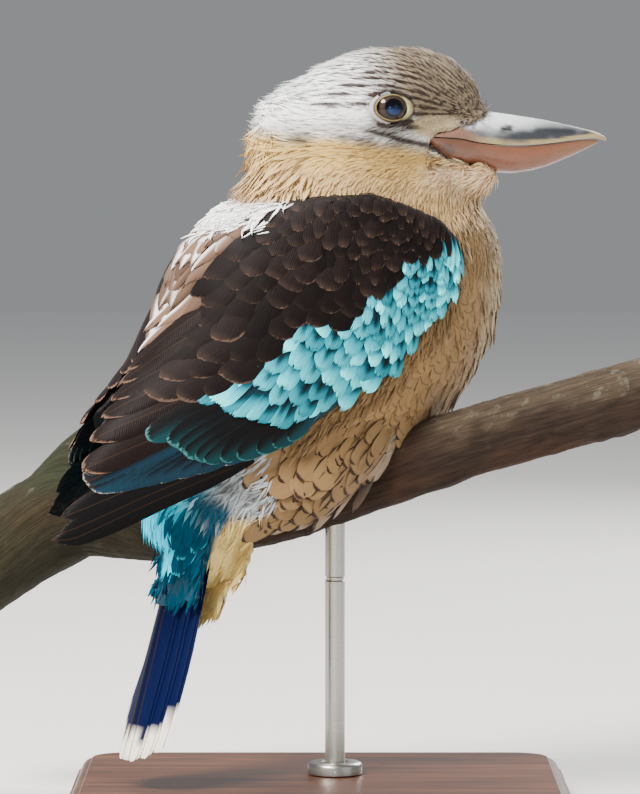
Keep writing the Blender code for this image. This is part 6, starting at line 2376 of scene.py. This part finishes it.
@dataclass
class Foot:
    """A foot that grips the perch, with its claws."""

    name: str
    place: float
    tilt: float
    toes: tuple[Toe, ...] = (Toe("outer", 30.0, 24.0, 2.3), Toe("middle", 47.0, 26.0, 2.5),
                             Toe("inner", 66.0, 19.0, 2.2), Toe("hind", 228.0, 16.0, 2.4))
    forward: float = 47.0
    claw_length: float = 9.0

    def path(self, toe: Toe, count: int) -> tuple[Array, Array]:
        """Points and normals of a toe bent round the perch."""
        heading = toe.heading
        if self.name == "left" and toe.name != "hind":
            heading = 2 * self.forward - heading
        run = Perch.spot(np.array(self.place))[1]
        turn = math.radians(heading) - math.atan2(run[1], run[0])
        s = np.linspace(0, toe.length, count)
        centre, _, side, up, reach = Perch.spot(self.place + s * math.cos(turn) * run[0])
        angle = (self.tilt - s * math.sin(turn) / (reach + toe.radius))[:, None]
        normal = up * np.cos(angle) - side * np.sin(angle)
        return centre + normal * (reach + toe.radius * 0.85)[:, None], normal

    @staticmethod
    def tube(name: str, centre: Array, across: Array, up: Array, radius: Array, sides: int) -> bpy.types.Object:
        """A closed tube through stations in millimetres. Its radius is a row or a grid."""
        angle = (circle(sides))[None, :, None]
        radius = np.broadcast_to(radius if radius.ndim == 2 else radius[:, None],
                                 (len(centre), sides))[..., None]
        ring = centre[:, None] + radius * (across[:, None] * np.cos(angle) + up[:, None] * np.sin(angle))
        return mesh_piece(name, ring.reshape(-1, 3) * MM, ring_faces(len(centre), sides))

    def toe(self, toe: Toe) -> bpy.types.Object:
        """A toe with joints and rows of scutes along its top."""
        count, sides = 60, 20
        centre, normal = self.path(toe, count)
        step = unit(np.gradient(centre, axis=0))
        across = unit(np.cross(step, normal))
        share = np.linspace(0, 1, count)
        joints = 1 + 0.07 * np.cos(2 * math.pi * share * 3) - 0.12 * share
        ends = np.sqrt(1 - 0.75 * smoothstep(0.94, 1.0, share))
        angle = circle(sides)
        scutes = np.abs(np.sin(math.pi * share * toe.length / 1.9))[:, None]
        scutes = scutes * smoothstep(0.2, 0.8, np.sin(angle))
        radius = toe.radius * (joints * ends)[:, None] * (1 + 0.07 * scutes)
        return self.tube(f"toe_{toe.name}_{self.name}", centre, across, normal, radius, sides)

    def claw(self, toe: Toe, finish: bpy.types.Material) -> None:
        """Builds the hooked claw of a toe."""
        centre, normal = self.path(toe, 7)
        tip, up = centre[-1], normal[-1]
        step = unit(tip - centre[-2])
        across = unit(np.cross(step, up))
        share = np.linspace(0, 1, 26)[:, None]
        rise = 0.9 * np.sin(math.pi * share) - 3 * share**2
        lean = unit(step + up * (0.2 - 1.3 * share))
        above = unit(np.cross(across, lean))
        spine = tip + step * (0.3 + self.claw_length * share) + up * rise
        angle = circle(16)
        radius = (1.75 * (1 - share) + 0.22) * (1 - 0.14 * np.maximum(0, -np.sin(angle)) ** 2)
        obj = self.tube(f"hook_{toe.name}_{self.name}", spine, np.tile(across, (26, 1)), above, radius, 16)
        along = np.repeat(share[:, 0], 16)
        tint = mixed(linear("#4a4239"), linear("#17130f"), smoothstep(0.0, 0.5, along))
        give(obj.data, "Tint", tint)
        around = np.tile(angle, 26)
        give(obj.data, "Span", np.column_stack((2 * np.cos(around), along * 9, 2 * np.sin(around))))
        obj.data.materials.append(finish)
        hand_over(face_out(obj), "claw_horn", f"claw_{toe.name}_{self.name}")

    def build(self, hide: bpy.types.Material, horn: bpy.types.Material) -> None:
        """Builds the foot and its claws.

        Args:
            hide: the skin's material.
            horn: the claws' material.
        """
        centre, run, side, up, reach = Perch.spot(np.array(self.place))
        rise = np.linspace(0, 13.5, 14)[:, None]
        middle = centre + up * (reach + 1.5 + rise) - np.array((0.2, 0.12, 0)) * rise
        parts = [self.toe(toe) for toe in self.toes]
        parts.append(self.tube(f"ankle_{self.name}", middle, np.tile(run, (14, 1)), np.tile(side, (14, 1)),
                               3.5 + 0.07 * rise[:, 0], 24))
        foot = fused(f"gripping_foot_{self.name}", parts, 0.4 * MM, soften=1)
        points = points_of(foot.data) / MM
        tint = mixed(linear("#8b8570"), linear("#5d584a"), smoothstep(-0.4, 0.6, noise(points, 2.2, 3)))
        give(foot.data, "Tint", tint)
        foot.data.materials.append(hide)
        hand_over(foot, "foot_skin", f"foot_{self.name}")
        for toe in self.toes:
            self.claw(toe, horn)


@dataclass
class Stand:
    """A wooden base with a moulded edge, and the steel rod and collar that hold the perch."""

    size: tuple[float, float, float] = (200.0, 150.0, 14.0)
    corner: float = 20.0
    rod_place: tuple[float, float] = (6.0, 1.5)
    rod_radius: float = 4.0
    collar: tuple[float, float] = (11.0, 5.0)
    EDGE = ((0.0, 1.2), (0.6, 0.3), (1.4, 0.0), (7.6, 0.0), (8.4, 0.25), (8.8, 1.3), (9.3, 1.5), (10.2, 1.7),
            (11.4, 2.3), (12.4, 3.3), (13.1, 4.6), (13.3, 5.4), (13.6, 5.7), (14.0, 6.1))

    def base(self) -> bpy.types.Object:
        """The base."""
        wide, deep, _ = self.size
        outline = []
        for k, (sx, sy) in enumerate(((1, 1), (-1, 1), (-1, -1), (1, -1))):
            for angle in np.linspace(k * math.pi / 2, (k + 1) * math.pi / 2, 17):
                out = np.array((math.cos(angle), math.sin(angle)))
                centre = np.array((sx * (wide / 2 - self.corner), sy * (deep / 2 - self.corner)))
                outline.append((centre + out * self.corner, out))
        rings = [[(*(p - out * inset), height) for p, out in outline] for height, inset in self.EDGE]
        obj = mesh_piece("moulded_base", np.array(rings).reshape(-1, 3) * MM,
                         ring_faces(len(rings), len(outline)))
        obj.data.set_sharp_from_angle(angle=math.radians(32))
        return face_out(obj)

    def turned_part(self, name: str, profile: tuple, sides: int, hollow: bool) -> bpy.types.Object:
        """A turned part on the rod's axis from a profile of radii and heights."""
        x, y = self.rod_place
        angle = circle(sides)
        rings = [np.column_stack((x + r * np.cos(angle), y + r * np.sin(angle), np.full(sides, h)))
                 for r, h in profile]
        obj = mesh_piece(name, np.array(rings).reshape(-1, 3) * MM,
                         ring_faces(len(rings), sides, closed=hollow))
        obj.data.set_sharp_from_angle(angle=math.radians(32))
        return face_out(obj)

    def screw(self) -> bpy.types.Object:
        """The small socket screw in the collar's side."""
        x, y = self.rod_place
        outer, height = self.collar
        z = self.size[2] + 0.3 + height / 2 - 0.2
        angle = circle(24)
        socket = np.where(np.arange(24) % 4 == 0, 0.62, 0.56)
        rings = []
        for radius, out in ((1.3, -1.5), (1.3, 0.15), (1.15, 0.3), (socket, 0.3), (socket * 0.98, -0.7)):
            rings.append(np.column_stack((x + radius * np.cos(angle), np.full(24, y - outer - out),
                                          z + radius * np.sin(angle))))
        obj = mesh_piece("collar_screw", np.array(rings).reshape(-1, 3) * MM, ring_faces(5, 24))
        obj.data.set_sharp_from_angle(angle=math.radians(32))
        return face_out(obj)

    def build(self) -> None:
        """Builds the stand."""
        tall, (outer, height) = self.size[2] + 0.3, self.collar
        r, inner = self.rod_radius, self.rod_radius + 0.3
        wood, steel = StainedWood().material(), BrushedSteel().material()
        base = self.base()
        rod = self.turned_part("turned_rod", ((r - 0.5, tall), (r, tall + 0.5), (r, 92.0), (r - 0.35, 92.5),
                                              (r - 0.35, 93.5), (r, 94.0), (r, 118.0), (r - 0.6, 118.6)), 64,
                               False)
        collar = self.turned_part("turned_collar", (
            (inner, tall), (outer - 0.3, tall), (outer, tall + 0.3), (outer, tall + height - 1.5),
            (outer - 0.5, tall + height - 0.6), (outer - 1.5, tall + height), (inner + 1.2, tall + height),
            (inner + 1.0, tall + height - 0.3), (inner, tall + height - 0.4)), 72, True)
        for obj, finish, slot, nodes in ((base, wood, "stand_wood", ("stand_base",)),
                                         (rod, steel, "stand_steel", ("stand_rod",)),
                                         (collar, steel, "stand_steel", ("stand_collar",)),
                                         (self.screw(), steel, "stand_steel", ())):
            obj.data.materials.append(finish)
            hand_over(obj, slot, *nodes)


@dataclass(frozen=True)
class Lamp:
    """A soft area light: place, size in metres, power in watts and colour."""

    name: str
    place: tuple[float, float, float]
    size: float
    power: float
    colour: tuple[float, float, float] = (1.0, 1.0, 1.0)


@dataclass
class Studio:
    """Floor, lights, sky and camera."""

    target: tuple[float, float, float] = (0.0, 0.0, 0.166)
    lens: float = 204.0  # millimetres, on a sensor 36 mm wide
    sky: tuple[float, float, float, float] = (0.80, 0.83, 0.86, 1.0)
    sky_strength: float = 0.34
    elevation: float = math.radians(3.0)
    distance: float = 1.8
    lamps: tuple[Lamp, ...] = (
        Lamp("key", (-0.85, -1.0, 1.5), 0.7, 100.0, (1.0, 0.965, 0.91)),
        Lamp("fill", (1.3, -1.0, 0.6), 1.2, 3.0, (0.93, 0.97, 1.0)),
        Lamp("front", (-0.12, -2.3, 0.46), 0.36, 5.0, (0.93, 0.97, 1.0)),
        Lamp("top", (-0.2, 0.3, 1.5), 0.9, 34.0),
        Lamp("rim", (0.7, 1.2, 0.8), 0.7, 18.0),
    )

    def aim(self, obj: bpy.types.Object) -> None:
        """Points an object at the target."""
        way = Vector(self.target) - obj.location
        obj.rotation_euler = way.to_track_quat("-Z", "Y").to_euler()

    def build(self) -> None:
        """Builds the studio."""
        angle = circle(96)
        rings = np.concatenate([np.column_stack((r * np.cos(angle), r * np.sin(angle), 0 * angle - 0.0002))
                                for r in (6.0, 0.6)])
        floor = mesh_piece("floor", rings, ring_faces(2, 96, caps=False) + [tuple(range(96, 192))])
        floor.data.materials.append(PaleFloor().material())
        for lamp in self.lamps:
            data = bpy.data.lights.new(lamp.name, "AREA")
            data.shape = "DISK"
            data.size, data.energy, data.color = lamp.size, lamp.power, lamp.colour
            obj = placed(lamp.name, data)
            obj.location = lamp.place
            self.aim(obj)
        world = bpy.data.worlds.new("soft_sky")
        world.use_nodes = True
        feed(world.node_tree.nodes["Background"], {"Color": self.sky, "Strength": self.sky_strength})
        bpy.context.scene.world = world
        data = bpy.data.cameras.new("camera")
        data.sensor_fit = "AUTO"
        data.sensor_width = 36.0
        data.lens = self.lens
        camera = placed("camera", data)
        camera.location = (0.0, -self.distance * math.cos(self.elevation),
                           self.target[2] + self.distance * math.sin(self.elevation))
        self.aim(camera)
        bpy.context.scene.camera = camera


def main() -> None:
    """Builds the model's looks and its studio."""
    logging.basicConfig(level=logging.INFO, format="%(message)s")
    wings = {name: Wing(side, f"wing_{name}") for name, side in SIDES.items()}
    Body(Markings(), CoatTrees(), wings["right"].surface).build()
    large = Plumage("flight_feathers", roughness=0.5, sheen=0.04, barb_spacing=0.9, specular=0.06, fray=0.07,
                    shaft_width=0.35).material()
    soft = Plumage("covert_feathers", roughness=0.6, sheen=0.06, barb_spacing=0.7, barb_contrast=0.28,
                   lengthwise=True, specular=0.07).material()
    for wing in wings.values():
        wing.build(large, soft)
    Tail().build(large, soft)
    Bill().build()
    head = Body.tree_of("head")
    glass, lid_skin = EyeGlass().material(), Hide("eyelid_skin", 0.7).material()
    for name, side in SIDES.items():
        Eye(side, name).build(head, glass, lid_skin)
    foot_skin, claw_horn = Hide("foot_skin", 1.1).material(), Horn("claw_horn", 0.3).material()
    for name, place, tilt in (("right", 24.0, math.radians(4.0)), ("left", -19.0, math.radians(-2.0))):
        Foot(name, place, tilt).build(foot_skin, claw_horn)
    Perch().build(Body.tree_of("foot_right", "foot_left"))
    Stand().build()
    Studio().build()


if __name__ == "__main__":
    main()
